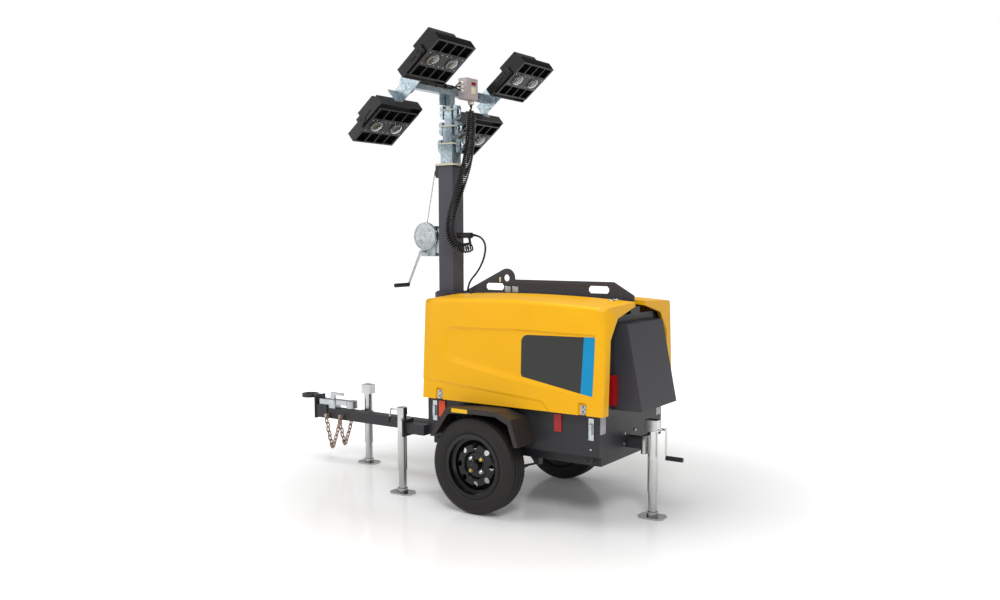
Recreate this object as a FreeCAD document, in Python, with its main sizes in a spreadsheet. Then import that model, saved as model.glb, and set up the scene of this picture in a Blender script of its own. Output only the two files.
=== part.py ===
import FreeCAD, Part
import math
import os
import re
from FreeCAD import Vector

doc = FreeCAD.newDocument("LightTower")

# Frame: +X forward to the coupling, +Y left, +Z up, ground at Z 0, and X 0 halfway along the machine.
# Names that end in _x are measured forward from the axle, _y from the centre line, _z from the ground.
SIZES = [
    # alias, value in mm or degrees, what it is
    ("wheel_radius", 273.6, "tyre outer radius"),
    ("tyre_width", 157, "tyre section width"),
    ("tread_width", 118, "flat of the tread"),
    ("tyre_shoulder", 22, "drop from tread to side wall"),
    ("bead_radius", 165.1, "rim bead seat radius"),
    ("flange_height", 17.4, "rim flange above the bead seat"),
    ("rim_half", 64, "half width between the rim flanges"),
    ("rim_wall", 5, "rim sheet thickness"),
    ("wheel_y", 476, "wheel centre from the centre line"),
    ("disc_offset", 34, "wheel disc outward of the wheel centre"),
    ("disc_dish", 16, "step between hub face and disc rim"),
    ("hub_radius", 48, "hub outer radius"),
    ("hub_inner_y", 428, "inner end of the hub"),
    ("stub_radius", 20, "stub axle radius"),
    ("stub_end_y", 498, "outer end of the stub axle"),
    ("shaft_play", 0.05, "radial clearance of a turning shaft"),
    ("seat_gap", 0.3, "gap at a sliding or resting seat"),
    ("stud_circle", 49, "wheel stud circle radius"),
    ("stud_radius", 8, "wheel nut radius"),
    ("vent_circle", 108, "circle of the wheel disc vents"),
    ("vent_radius", 17, "wheel disc vent radius"),
    ("cap_radius", 30, "hub cap radius"),
    ("beam_size", 50, "square axle beam"),
    ("beam_half", 345, "axle beam half length"),
    ("spring_y", 310, "leaf spring centre from the centre line"),
    ("spring_width", 45, "leaf width"),
    ("leaf_thick", 8, "leaf thickness"),
    ("leaf_drop", 8.6, "spring pad height under the axle"),
    ("leaf_radius", 846, "leaf curvature radius"),
    ("leaf_half", 300, "half length of the main leaf"),
    ("leaf_step", 90, "each next leaf is shorter by this"),
    ("hanger_half", 16, "half length of a spring hanger"),
    ("rail_width", 40, "chassis rail width"),
    ("rail_height", 60, "chassis rail height"),
    ("rail_rear_x", -700, "rear end of the rails"),
    ("rail_wall", 4, "chassis rail wall"),
    ("plate_height", 11, "cross plate over the drawbar"),
    ("plate_length", 50, "cross plate length"),
    ("plate_rear_x", 60, "rear cross plate and rear end of the drawbar"),
    ("tray_bottom_z", 381, "underside of the base tray"),
    ("tray_height", 219, "base tray height"),
    ("tray_half", 385, "base tray half width"),
    ("tray_wall", 4, "base tray sheet"),
    ("tray_front_x", 430, "front face of the base tray"),
    ("tray_rear_x", -718, "rear face of the base tray"),
    ("drawbar_size", 70, "square drawbar tube"),
    ("drawbar_wall", 5, "drawbar wall"),
    ("drawbar_front_x", 1700, "front end of the drawbar"),
    ("head_plate", 10, "coupling head plate thickness"),
    ("head_half", 50, "coupling head plate half width"),
    ("head_top_z", 452, "top of the coupling head plate"),
    ("cheek_length", 100, "coupling head side cheeks"),
    ("cheek_wall", 8, "cheek thickness"),
    ("eye_x", 1798, "towing eye centre"),
    ("eye_z", 440, "towing eye mid height"),
    ("eye_outer", 58, "towing eye outer radius"),
    ("eye_hole", 34, "towing eye hole radius"),
    ("eye_thick", 24, "towing eye thickness"),
    ("eye_round", 4, "rounding of the towing eye"),
    ("shank_half", 22, "towing eye shank half width"),
    ("ball_x", 1400, "ball coupler socket centre"),
    ("ball_radius", 25, "ball coupler socket radius"),
    ("cup_radius", 38, "ball coupler cup radius"),
    ("cup_height", 48, "ball coupler cup height"),
    ("cup_lift", 14, "cup above the drawbar"),
    ("coupler_length", 278, "ball coupler length behind the cup centre"),
    ("coupler_half", 31, "ball coupler half width"),
    ("coupler_height", 58, "ball coupler clamp height"),
    ("lever_length", 112, "coupler lever length"),
    ("lever_height", 48, "coupler lever rise"),
    ("lever_width", 22, "coupler lever width"),
    ("shell_front_x", 433, "front face of the canopy"),
    ("shell_length", 1197, "canopy length"),
    ("shell_bottom_z", 609, "lower edge of the canopy"),
    ("shell_bottom_half", 434, "canopy half width at its lower edge"),
    ("shell_top_half", 398, "canopy half width at its top edge"),
    ("shell_edge_z", 1176, "height of the canopy's top side edge"),
    ("shell_ridge_z", 1192, "height of the canopy beside the lifting plate"),
    ("shell_inner_y", 62, "canopy top edge beside the spine"),
    ("shell_wall", 25, "canopy wall"),
    ("shell_round", 26, "rounding of the canopy's long top edge"),
    ("shell_corner", 34, "rounding of the canopy's upright corners"),
    ("frame_side", 60, "width of the canopy's rear flange at the side"),
    ("spine_half", 56, "half width of the roof spine"),
    ("spine_top_z", 1160, "top of the roof spine"),
    ("spine_height", 35, "roof spine height"),
    ("spine_wall", 4, "roof spine sheet"),
    ("post_x", 386, "rear face of the front centre post"),
    ("post_length", 40, "front centre post along X"),
    ("hinge_y", 48, "canopy hinge axis from the centre line"),
    ("hinge_z", 1196, "canopy hinge axis height"),
    ("hinge_radius", 9, "hinge knuckle radius"),
    ("hinge_pin", 4, "hinge pin radius"),
    ("knuckle", 28, "hinge knuckle length"),
    ("knuckle_gap", 0.3, "play between knuckles"),
    ("hinge_front_x", 330, "front hinge centre"),
    ("hinge_rear_x", -640, "rear hinge centre"),
    ("leaf_reach", 70, "hinge leaf width on the canopy"),
    ("hinge_plate", 5, "hinge leaf thickness"),
    ("lift_thick", 12, "lifting plate thickness"),
    ("lift_top_z", 1295, "lifting plate top edge"),
    ("lift_end_z", 1220, "lifting plate height at its ends"),
    ("lift_eye_x", 122, "lifting eye centre"),
    ("lift_eye_z", 1303, "lifting eye centre height"),
    ("lift_eye_hole", 21.5, "lifting eye hole radius"),
    ("lift_eye_outer", 57, "lifting eye outer radius"),
    ("lift_flat_x", -600, "rear end of the level top edge"),
    ("lift_rear_x", -727, "rear end of the lifting plate"),
    ("slot_front_x", 208, "front hand slot centre"),
    ("slot_rear_x", -506, "rear hand slot centre"),
    ("slot_z", 1249, "hand slot centre height"),
    ("slot_length", 135, "hand slot length"),
    ("slot_height", 42, "hand slot height"),
    ("back_half", 340, "rear panel half width"),
    ("back_wall", 4, "rear panel sheet"),
    ("bar_half", 230, "top cross bar half width"),
    ("bar_depth", 16, "top cross bar depth behind the panel"),
    ("bar_height", 40, "top cross bar height"),
    ("hood_half", 223, "rear hood half width"),
    ("hood_top_x", -797, "rear hood top edge"),
    ("hood_top_z", 1080, "height of the hood's top edge"),
    ("hood_low_x", -887, "rear hood lower edge"),
    ("hood_low_z", 616, "height of the hood's lower edge"),
    ("hood_wall", 4, "rear hood sheet"),
    ("lamp_oval_y", 256, "tail lamp centre from the centre line"),
    ("lamp_oval_z", 726, "tail lamp centre height"),
    ("lamp_oval_width", 56, "tail lamp width"),
    ("lamp_oval_height", 168, "tail lamp height"),
    ("lamp_oval_depth", 27, "tail lamp depth"),
    ("amber_x", 322, "front reflector centre"),
    ("red_x", -466, "rear reflector centre"),
    ("reflector_z", 545, "reflector centre height"),
    ("reflector_length", 46, "reflector length"),
    ("reflector_height", 96, "reflector height"),
    ("reflector_thick", 8, "reflector thickness"),
    ("latch_front_x", 376, "front toggle latch centre"),
    ("latch_rear_x", -670, "rear toggle latch centre"),
    ("latch_z", 530, "toggle latch centre height"),
    ("latch_width", 31, "toggle latch width"),
    ("latch_height", 118, "toggle latch height"),
    ("latch_depth", 14, "toggle latch depth"),
    ("fender_inner_y", 385, "inner edge of the fender"),
    ("fender_outer_y", 560, "outer face of the fender"),
    ("fender_top_z", 600, "top of the fender"),
    ("fender_low_z", 419, "lower ends of the fender"),
    ("fender_front_x", 282, "front end of the fender"),
    ("fender_rear_x", -318, "rear end of the fender"),
    ("fender_wall", 5, "fender sheet"),
    ("fender_lip", 28, "depth of the fender's outer lip"),
    ("fender_round", 40, "rounding of the fender's corners"),
    ("engine_rear_x", -520, "rear of the engine and generator block"),
    ("engine_length", 640, "length of the engine block"),
    ("engine_half", 190, "half width of the engine block"),
    ("engine_height", 450, "height of the engine block"),
    ("mast_x", 541, "mast centre"),
    ("mast_size", 110, "outer mast tube"),
    ("mast_wall", 4, "outer mast wall"),
    ("mast_foot_z", 400, "top of the mast pedestal"),
    ("mast_top_z", 2005, "top of the outer mast tube"),
    ("mast_plate", 12, "mast end plate thickness"),
    ("pedestal_half", 75, "mast pedestal half width"),
    ("pivot_radius", 30, "mast pivot radius"),
    ("pivot_height", 30, "mast pivot height above the pedestal"),
    ("bearing_radius", 86, "mast upper bearing radius"),
    ("bearing_z", 1176, "underside of the upper bearing ring"),
    ("bearing_height", 28, "upper bearing ring height"),
    ("ring_outer", 104, "upper bearing housing radius"),
    ("section_wall", 3, "inner mast section wall"),
    ("second_size", 90, "second mast section"),
    ("third_size", 70, "third mast section"),
    ("fourth_size", 55, "fourth mast section"),
    ("fifth_size", 40, "top mast section"),
    ("second_top_z", 2132, "top of the second section"),
    ("third_top_z", 2240, "top of the third section"),
    ("fourth_top_z", 2340, "top of the fourth section"),
    ("section_foot_z", 450, "lower end of the inner sections"),
    ("pad_height", 60, "wear pad height"),
    ("pad_width", 24, "wear pad width"),
    ("collar_extra", 14, "collar beyond its section"),
    ("collar_thick", 8, "collar plate thickness"),
    ("bar_z", 2450, "lamp crossbar centre height"),
    ("bar_size", 50, "square lamp crossbar"),
    ("bar_wall", 3, "crossbar wall"),
    ("lamp_y", 435, "lamp centre from the centre line"),
    ("end_disc", 62, "crossbar end disc radius"),
    ("end_thick", 10, "crossbar end disc thickness"),
    ("lamp_tilt", 51, "lamp face below the horizontal"),
    ("lamp_reach", 272, "lamp centre from the crossbar axis"),
    ("bracket_reach", 100, "yoke seat from the crossbar axis"),
    ("bracket_wall", 6, "lamp bracket thickness"),
    ("bracket_half", 45, "lamp bracket half width"),
    ("yoke_wall", 6, "yoke thickness"),
    ("yoke_width", 60, "yoke arm width"),
    ("yoke_gap", 6, "gap between yoke and lamp"),
    ("yoke_end", 34, "yoke arm beyond the tilt axis"),
    ("tilt_pin", 6, "tilt pin radius"),
    ("boss_radius", 16, "tilt boss radius"),
    ("lamp_width", 350, "lamp width"),
    ("lamp_height", 279, "lamp height"),
    ("lamp_depth", 60, "lamp housing depth"),
    ("face_lead", 101, "lamp face in front of the crossbar axis"),
    ("pivot_back", 40, "tilt axis behind the lamp face"),
    ("frame_edge", 10, "edge of the lamp frame"),
    ("plate_half", 48, "half height of the lamp's reflector plate"),
    ("pocket_depth", 34, "lamp frame pocket depth"),
    ("fin_thick", 8, "lamp fin thickness"),
    ("fin_pitch", 82, "distance between the lamp's front fins"),
    ("optic_y", 87, "reflector centre from the lamp centre"),
    ("optic_radius", 43, "reflector radius"),
    ("optic_depth", 30, "reflector depth"),
    ("driver_half", 120, "driver box half width"),
    ("driver_depth", 78, "driver box depth"),
    ("driver_low", 40, "driver box below the lamp centre"),
    ("driver_high", 105, "driver box above the lamp centre"),
    ("box_y", -110, "junction box centre"),
    ("box_width", 116, "junction box width"),
    ("box_depth", 65, "junction box depth"),
    ("box_height", 130, "junction box height"),
    ("box_low_z", 2408, "junction box underside"),
    ("winch_x", 711, "winch drum axis"),
    ("winch_z", 1556, "winch drum axis height"),
    ("winch_half", 36, "winch frame half width"),
    ("winch_wall", 4, "winch frame plate"),
    ("winch_low_z", 1430, "underside of the winch frame"),
    ("winch_height", 190, "winch frame height"),
    ("winch_seat", 45, "winch bracket depth"),
    ("drum_radius", 34, "winch drum radius"),
    ("drum_flange", 60, "winch drum flange radius"),
    ("drum_half", 30, "winch drum half length"),
    ("gear_radius", 88, "winch gear cover radius"),
    ("gear_thick", 16, "winch gear cover thickness"),
    ("crank_x", 720, "winch crank shaft"),
    ("crank_z", 1457, "winch crank shaft height"),
    ("crank_radius", 9, "winch crank shaft radius"),
    ("crank_y", 82, "winch crank arm from the centre line"),
    ("crank_arm", 243, "winch crank arm length"),
    ("crank_lean", 25.6, "crank arm lean forward of hanging down"),
    ("crank_grip", 130, "winch crank grip length"),
    ("grip_radius", 13, "winch crank grip radius"),
    ("cable_radius", 3, "winch cable radius"),
    ("pulley_x", 634, "mast head pulley axis"),
    ("pulley_z", 1952, "mast head pulley axis height"),
    ("pulley_radius", 30, "mast head pulley radius"),
    ("jack_radius", 28.5, "jack outer tube radius"),
    ("jack_low_z", 144, "lower end of the jack outer tube"),
    ("jack_top_z", 484, "top of the jack outer tube"),
    ("jack_cap_z", 526, "top of the jack cap"),
    ("leg_radius", 24, "jack leg radius"),
    ("leg_length", 365, "jack leg length"),
    ("foot_length", 150, "jack foot length"),
    ("foot_width", 110, "jack foot width"),
    ("foot_thick", 10, "jack foot thickness"),
    ("foot_cut", 24, "corner cut of the jack foot"),
    ("socket_radius", 32, "jack foot socket radius"),
    ("socket_height", 24, "jack foot socket height"),
    ("swivel_width", 100, "jack swivel plate width"),
    ("swivel_height", 100, "jack swivel plate height"),
    ("swivel_z", 408, "jack swivel centre height"),
    ("swivel_thick", 10, "jack swivel plate thickness"),
    ("side_jack_x", 620, "front side jacks"),
    ("side_jack_y", 400, "front side jacks from the centre line"),
    ("rear_jack_x", -860, "rear jack"),
    ("rear_jack_y", 30, "rear jack from the centre line"),
    ("bar_jack_x", 1320, "drawbar jack"),
    ("bar_jack_y", -78, "drawbar jack from the centre line"),
    ("arm_size", 60, "square jack arm"),
    ("gear_width", 61, "jack gear head width"),
    ("gear_length", 73, "jack gear head length"),
    ("gear_height", 62, "jack gear head height"),
    ("jack_shaft", 45, "jack crank shaft length"),
    ("jack_arm", 166, "jack crank arm length"),
    ("jack_grip", 95, "jack crank grip length"),
    ("ring_bar", 6, "tie-down ring bar radius"),
    ("ring_radius", 22, "tie-down ring radius"),
    ("ring_drop", 16, "tie-down ring legs"),
    ("ring_front_x", 352, "front tie-down rings"),
    ("ring_rear_x", -640, "rear tie-down rings"),
    ("link_length", 44, "chain link length"),
    ("link_width", 28, "chain link width"),
    ("link_bar", 7, "chain link bar"),
    ("gland_x", 395, "supply cable gland on the roof spine"),
    ("gland_y", 30, "supply cable gland from the centre line"),
    ("gland_radius", 13, "gland radius"),
    ("gland_height", 34, "gland height"),
    ("plug_z", 1561, "cable plug on the mast"),
    ("plug_radius", 17, "cable plug radius"),
    ("plug_length", 104, "cable plug behind the mast"),
    ("curl_radius", 33, "curly cable outer radius"),
    ("lead_radius", 6, "supply cable radius"),
]

sheet = doc.addObject("Spreadsheet::Sheet", "Size")
for row, (alias, number, note) in enumerate(SIZES, start=1):
    sheet.set("A%d" % row, note)
    sheet.set("B%d" % row, str(number))
    sheet.setAlias("B%d" % row, alias)
doc.recompute()
ALIASES = {alias for alias, number, note in SIZES}

probe = doc.addObject("App::FeaturePython", "Probe")
probe.addProperty("App::PropertyFloat", "Reading")


def size_text(text):
    """Put the sheet's name before each size named in an expression."""
    def named(match):
        word = match.group(0)
        return "Size." + word if word in ALIASES else word
    return re.sub(r"[a-z][a-z0-9_]*", named, str(text))


def value(text):
    """Number that an expression of sizes gives."""
    probe.setExpression("Reading", size_text(text))
    probe.recompute()
    return probe.Reading


def bind(thing, **texts):
    """Bind properties of an object to expressions of sizes."""
    for path, text in texts.items():
        thing.setExpression(path, size_text(text))
    return thing


def place(thing, x="0", y="0", z="0"):
    """Bind the position of an object."""
    for axis, text in zip("xyz", (x, y, z)):
        thing.setExpression("Placement.Base." + axis, size_text(text))
    return thing


def box(name, x, y, z, length, width, height):
    """Block with its low corner at x, y, z."""
    block = doc.addObject("Part::Box", name)
    bind(block, Length=length, Width=width, Height=height)
    return place(block, x, y, z)


TURNS = {
    "x": FreeCAD.Rotation(Vector(0, 1, 0), 90),
    "y": FreeCAD.Rotation(Vector(1, 0, 0), -90),
    "z": FreeCAD.Rotation(),
}


def rod(name, axis, x, y, z, radius, length):
    """Cylinder that starts at x, y, z and runs along an axis."""
    bar = doc.addObject("Part::Cylinder", name)
    bar.Placement = FreeCAD.Placement(Vector(), TURNS[axis])
    bind(bar, Radius=radius, Height=length)
    return place(bar, x, y, z)


def fuse(name, *pieces):
    """Weld pieces into one object."""
    whole = doc.addObject("Part::MultiFuse", name)
    whole.Shapes = list(pieces)
    return whole


def cut(name, base, *tools):
    """Take tools away from a base."""
    tool = tools[0] if len(tools) == 1 else fuse(name + "_tools", *tools)
    rest = doc.addObject("Part::Cut", name)
    rest.Base = base
    rest.Tool = tool
    return rest


def square_tube(name, x, y, low, high, outer, wall):
    """Upright square tube centred on x, y."""
    solid = box(name + "_solid", f"{x} - {outer} / 2", f"{y} - {outer} / 2", low, outer, outer, f"{high} - ({low})")
    inner = f"({outer} - 2 * {wall})"
    hollow = box(name + "_hollow", f"{x} - {inner} / 2", f"{y} - {inner} / 2", f"{low} - 1",
                 inner, inner, f"{high} - ({low}) + 2")
    return cut(name, solid, hollow)


def plane_of(body, role):
    """Origin plane or axis of a body."""
    return [thing for thing in body.Origin.OriginFeatures if thing.Role == role][0]


NORMAL_OFFSET = {"XY_Plane": 1, "XZ_Plane": -1, "YZ_Plane": 1}


def sketch_on(body, name, plane, offset="0"):
    """Empty sketch on an origin plane of a body, moved along the plane's axis."""
    sketch = body.newObject("Sketcher::SketchObject", name)
    sketch.AttachmentSupport = [(plane_of(body, plane), "")]
    sketch.MapMode = "FlatFace"
    side = "" if NORMAL_OFFSET[plane] > 0 else "-"
    sketch.setExpression("AttachmentOffset.Base.z", size_text(f"{side}({offset})"))
    return sketch


def polygon(sketch, points):
    """Closed outline of straight lines, each corner bound to a pair of expressions."""
    import Sketcher
    corners = [Vector(value(across), value(up), 0) for across, up in points]
    start = sketch.GeometryCount
    count = len(points)
    for index in range(count):
        sketch.addGeometry(Part.LineSegment(corners[index], corners[(index + 1) % count]), False)
    for index in range(count):
        line = start + index
        sketch.addConstraint(Sketcher.Constraint("Coincident", line, 2, start + (index + 1) % count, 1))
        for kind, text, number in (("DistanceX", points[index][0], corners[index].x),
                                   ("DistanceY", points[index][1], corners[index].y)):
            made = sketch.addConstraint(Sketcher.Constraint(kind, -1, 1, line, 1, number))
            sketch.setExpression(f"Constraints[{made}]", size_text(text))
    return sketch


def circle(sketch, across, up, radius):
    """Circle bound to expressions."""
    import Sketcher
    centre = Vector(value(across), value(up), 0)
    ring = sketch.addGeometry(Part.Circle(centre, Vector(0, 0, 1), value(radius)), False)
    made = sketch.addConstraint(Sketcher.Constraint("Radius", ring, value(radius)))
    sketch.setExpression(f"Constraints[{made}]", size_text(radius))
    for kind, text, number in (("DistanceX", across, centre.x), ("DistanceY", up, centre.y)):
        made = sketch.addConstraint(Sketcher.Constraint(kind, -1, 1, ring, 3, number))
        sketch.setExpression(f"Constraints[{made}]", size_text(text))
    return sketch


def pad(body, sketch, length):
    """Extrude a sketch towards higher coordinates of its plane's axis."""
    feature = body.newObject("PartDesign::Pad", sketch.Name + "_pad")
    feature.Profile = sketch
    feature.Reversed = sketch.AttachmentSupport[0][0].Role == "XZ_Plane"
    bind(feature, Length=length)
    sketch.Visibility = False
    return feature


def pocket(body, sketch, length):
    """Cut a sketch's outline towards higher coordinates of its plane's axis."""
    feature = body.newObject("PartDesign::Pocket", sketch.Name + "_cut")
    feature.Profile = sketch
    feature.Reversed = sketch.AttachmentSupport[0][0].Role != "XZ_Plane"
    bind(feature, Length=length)
    return feature


def round_edges(body, name, feature, radius, along, picks):
    """Fillet the edges of a feature that run along an axis through the picked points."""
    doc.recompute()
    drop = "xyz".index(along)
    spots = [tuple(value(text) for text in pick) for pick in picks]
    chosen = []
    for number, edge in enumerate(feature.Shape.Edges, start=1):
        ends = [vertex.Point for vertex in edge.Vertexes]
        if len(ends) != 2 or edge.Length < 1:
            continue
        flat = [[end[axis] for axis in range(3) if axis != drop] for end in ends]
        if abs(ends[0][drop] - ends[1][drop]) < 0.5 * edge.Length:
            continue
        for spot in spots:
            if all(math.dist(point, spot) < 1.0 for point in flat):
                chosen.append("Edge%d" % number)
    fillet = body.newObject("PartDesign::Fillet", name)
    fillet.Base = (feature, chosen)
    bind(fillet, Radius=radius)
    return fillet


def side_low(side, near, width):
    """Low Y edge of a block that starts at near on one side of the centre line."""
    return near if side > 0 else f"-({near}) - ({width})"


AXLE_X = "(axle_shift)"
NODES = {}


def keep(label, thing, x=None, y=None, z=None):
    """Make an object a sub-part of the machine, moved from the axle to the machine's own frame."""
    thing.Label = label
    place(thing, "axle_x" if x is None else f"axle_x + {x}", y or "0", z or "0")
    NODES[label] = thing
    return thing


# Reach of the machine ahead of and behind the axle, which sets the axle's place in the frame.
sheet.set("A400", "axle from the middle of the machine")
sheet.set("B400", "=((-rear_jack_x + gear_length / 2 + jack_shaft + jack_grip) - (eye_x + eye_outer)) / 2")
sheet.setAlias("B400", "axle_x")
ALIASES.add("axle_x")
doc.recompute()

SIDES = [("left", 1), ("right", -1)]

# Wheels: tyre and pressed rim, turned about Y through the wheel centre.
for label, side in SIDES:
    tyre = doc.addObject("PartDesign::Body", "Tyre_" + label)
    half = "tyre_width / 2"
    outline = sketch_on(tyre, "TyreProfile_" + label, "YZ_Plane")
    polygon(outline, [
        ("-rim_half + 0.5", "bead_radius"),
        ("rim_half - 0.5", "bead_radius"),
        ("rim_half - 0.5", "bead_radius + flange_height"),
        (f"{half} - 4", "bead_radius + flange_height + 14"),
        (half, "wheel_radius - tyre_shoulder * 2.4"),
        (f"{half} - 5", "wheel_radius - tyre_shoulder"),
        ("tread_width / 2", "wheel_radius - 2"),
        ("tread_width / 4", "wheel_radius"),
        ("-tread_width / 4", "wheel_radius"),
        ("-tread_width / 2", "wheel_radius - 2"),
        (f"5 - {half}", "wheel_radius - tyre_shoulder"),
        (f"-{half}", "wheel_radius - tyre_shoulder * 2.4"),
        (f"4 - {half}", "bead_radius + flange_height + 14"),
        ("0.5 - rim_half", "bead_radius + flange_height"),
    ])
    turned = tyre.newObject("PartDesign::Revolution", "TyreTurn_" + label)
    turned.Profile = outline
    turned.ReferenceAxis = (plane_of(tyre, "Y_Axis"), [""])
    turned.Angle = 360
    keep("tyre_" + label, tyre, "0", f"{side} * wheel_y", "wheel_radius")

    rim = doc.addObject("PartDesign::Body", "Rim_" + label)
    barrel = sketch_on(rim, "RimProfile_" + label, "YZ_Plane")
    out = f"{side} * "
    polygon(barrel, [
        ("-rim_half - rim_wall", "bead_radius + flange_height"),
        ("-rim_half", "bead_radius + flange_height"),
        ("-rim_half", "bead_radius"),
        ("-rim_half * 0.45", "bead_radius"),
        ("-rim_half * 0.35", "bead_radius - 18"),
        ("rim_half * 0.35", "bead_radius - 18"),
        ("rim_half * 0.45", "bead_radius"),
        ("rim_half", "bead_radius"),
        ("rim_half", "bead_radius + flange_height"),
        ("rim_half + rim_wall", "bead_radius + flange_height"),
        ("rim_half + rim_wall", "bead_radius - rim_wall"),
        ("rim_half * 0.45 + rim_wall", "bead_radius - rim_wall"),
        ("rim_half * 0.35 + rim_wall", "bead_radius - 18 - rim_wall"),
        ("-rim_half * 0.35 - rim_wall", "bead_radius - 18 - rim_wall"),
        ("-rim_half * 0.45 - rim_wall", "bead_radius - rim_wall"),
        ("-rim_half - rim_wall", "bead_radius - rim_wall"),
    ])
    ring = rim.newObject("PartDesign::Revolution", "RimTurn_" + label)
    ring.Profile = barrel
    ring.ReferenceAxis = (plane_of(rim, "Y_Axis"), [""])
    ring.Angle = 360
    face = f"{out}(disc_offset)"
    disc = sketch_on(rim, "DiscProfile_" + label, "YZ_Plane")
    polygon(disc, [
        (f"{out}(hub_inner_y - wheel_y)", "stub_radius + shaft_play"),
        (f"{out}(hub_inner_y - wheel_y)", "hub_radius - 12"),
        (f"{out}(disc_offset - disc_dish - rim_wall)", "hub_radius + 14"),
        (f"{out}(disc_offset - disc_dish - rim_wall)", "stud_circle + 24"),
        (f"{out}(disc_offset - rim_wall)", "vent_circle - 26"),
        (f"{out}(disc_offset - rim_wall)", "vent_circle + 4"),
        (f"{out}(rim_half * 0.15)", "bead_radius - 18 - rim_wall + 1"),
        (f"{out}(rim_half * 0.15 + rim_wall)", "bead_radius - 18 - rim_wall + 1"),
        (f"{out}(disc_offset)", "vent_circle + 8"),
        (f"{out}(disc_offset)", "vent_circle - 28"),
        (f"{out}(disc_offset - disc_dish)", "stud_circle + 20"),
        (f"{out}(disc_offset - disc_dish)", "cap_radius"),
        (f"{out}(disc_offset - disc_dish + 26)", "cap_radius - 4"),
        (f"{out}(disc_offset - disc_dish + 26)", "stub_radius + shaft_play"),
    ])
    web = rim.newObject("PartDesign::Revolution", "DiscTurn_" + label)
    web.Profile = disc
    web.ReferenceAxis = (plane_of(rim, "Y_Axis"), [""])
    web.Angle = 360
    doc.recompute()
    holes = sketch_on(rim, "VentHoles_" + label, "XZ_Plane", "-rim_half - 20")
    circle(holes, "vent_circle", "0", "vent_radius")
    vents = pocket(rim, holes, "2 * rim_half + 40")
    doc.recompute()
    spread = rim.newObject("PartDesign::PolarPattern", "Vents_" + label)
    spread.Originals = [vents]
    spread.Axis = (plane_of(rim, "Y_Axis"), [""])
    spread.Angle = 360
    spread.Occurrences = 8
    rim.Tip = spread
    studs = sketch_on(rim, "Stud_" + label, "XZ_Plane",
                      "disc_offset - disc_dish - 2" if side > 0 else "disc_dish - disc_offset - 16")
    circle(studs, "stud_circle * cos(45)", "stud_circle * sin(45)", "stud_radius")
    stud = pad(rim, studs, "18")
    doc.recompute()
    bolts = rim.newObject("PartDesign::PolarPattern", "Studs_" + label)
    bolts.Originals = [stud]
    bolts.Axis = (plane_of(rim, "Y_Axis"), [""])
    bolts.Angle = 360
    bolts.Occurrences = 4
    rim.Tip = bolts
    keep("rim_" + label, rim, "0", f"{side} * wheel_y", "wheel_radius")

# Axle: square beam with a stub at each end.
beam = box("AxleBeam", "-beam_size / 2", "-beam_half", "wheel_radius - beam_size / 2", "beam_size",
           "2 * beam_half", "beam_size")
stubs = rod("AxleStubs", "y", "0", "-stub_end_y", "wheel_radius", "stub_radius", "2 * stub_end_y")
collars = [rod("AxleCollar_" + label, "y", "0", side_low(side, "beam_half - 1", "hub_inner_y - seat_gap - beam_half + 1"),
               "wheel_radius", "stub_radius + 10", "hub_inner_y - seat_gap - beam_half + 1")
           for label, side in SIDES]
keep("axle", fuse("Axle", beam, stubs, *collars))

# Leaf springs: three leaves curved up to hangers under the rails, one solid a side.
springs = []
for label, side in SIDES:
    low = side_low(side, "spring_y - spring_width / 2", "spring_width")
    top = "(wheel_radius - beam_size / 2 - leaf_drop)"
    parts = []
    for number in range(3):
        outer = rod(f"LeafOuter{number}_{label}", "y", "0", low, f"{top} + leaf_radius",
                    f"leaf_radius + {number + 1} * leaf_thick", "spring_width")
        inner = rod(f"LeafInner{number}_{label}", "y", "0", f"{low} - 1", f"{top} + leaf_radius",
                    f"leaf_radius + {number} * leaf_thick - {0.01 if number else 0}", "spring_width + 2")
        band = cut(f"LeafBand{number}_{label}", outer, inner)
        reach = f"(leaf_half - {number} * leaf_step)"
        window = box(f"LeafWindow{number}_{label}", f"-{reach}", low, f"{top} - 3 * leaf_thick - 1",
                     f"2 * {reach}", "spring_width", "tray_bottom_z")
        leaf = doc.addObject("Part::Common", f"Leaf{number}_{label}")
        leaf.Base = band
        leaf.Tool = window
        parts.append(leaf)
    parts.append(box(f"SpringPad_{label}", "-beam_size / 2 - 15", low, f"{top} - 4", "beam_size + 30",
                     "spring_width", "leaf_drop + 4"))
    rise = f"({top} + leaf_radius - sqrt(leaf_radius ^ 2 - (leaf_half - hanger_half) ^ 2) - leaf_thick)"
    for end, sign in (("front", 1), ("rear", -1)):
        middle = f"{sign} * (leaf_half - hanger_half / 2)"
        parts.append(box(f"Hanger_{end}_{label}", f"{middle} - hanger_half", low, rise, "2 * hanger_half",
                         "spring_width", f"tray_bottom_z - rail_height - {rise}"))
    springs.append(fuse("Spring_" + label, *parts))
keep("leaf_springs", fuse("LeafSprings", *springs))

# Chassis: two rails with cross plates that sit on the drawbar, and a rear cross member.
pieces = []
for label, side in SIDES:
    low = side_low(side, "spring_y - rail_width / 2", "rail_width")
    pieces.append(box("Rail_" + label, "rail_rear_x", low, "tray_bottom_z - rail_height",
                      "tray_front_x - rail_rear_x", "rail_width", "rail_height"))
span = "2 * (spring_y - rail_width / 2 + 1)"
for name, x in (("Front", "tray_front_x - plate_length"), ("Middle", "plate_rear_x")):
    pieces.append(box("CrossPlate" + name, x, f"-{span} / 2", "tray_bottom_z - plate_height", "plate_length",
                      span, "plate_height"))
pieces.append(box("RearCross", "rail_rear_x", f"-{span} / 2", "tray_bottom_z - rail_height", "rail_width", span,
                  "rail_height"))
keep("chassis_rails", fuse("ChassisRails", *pieces))

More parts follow.
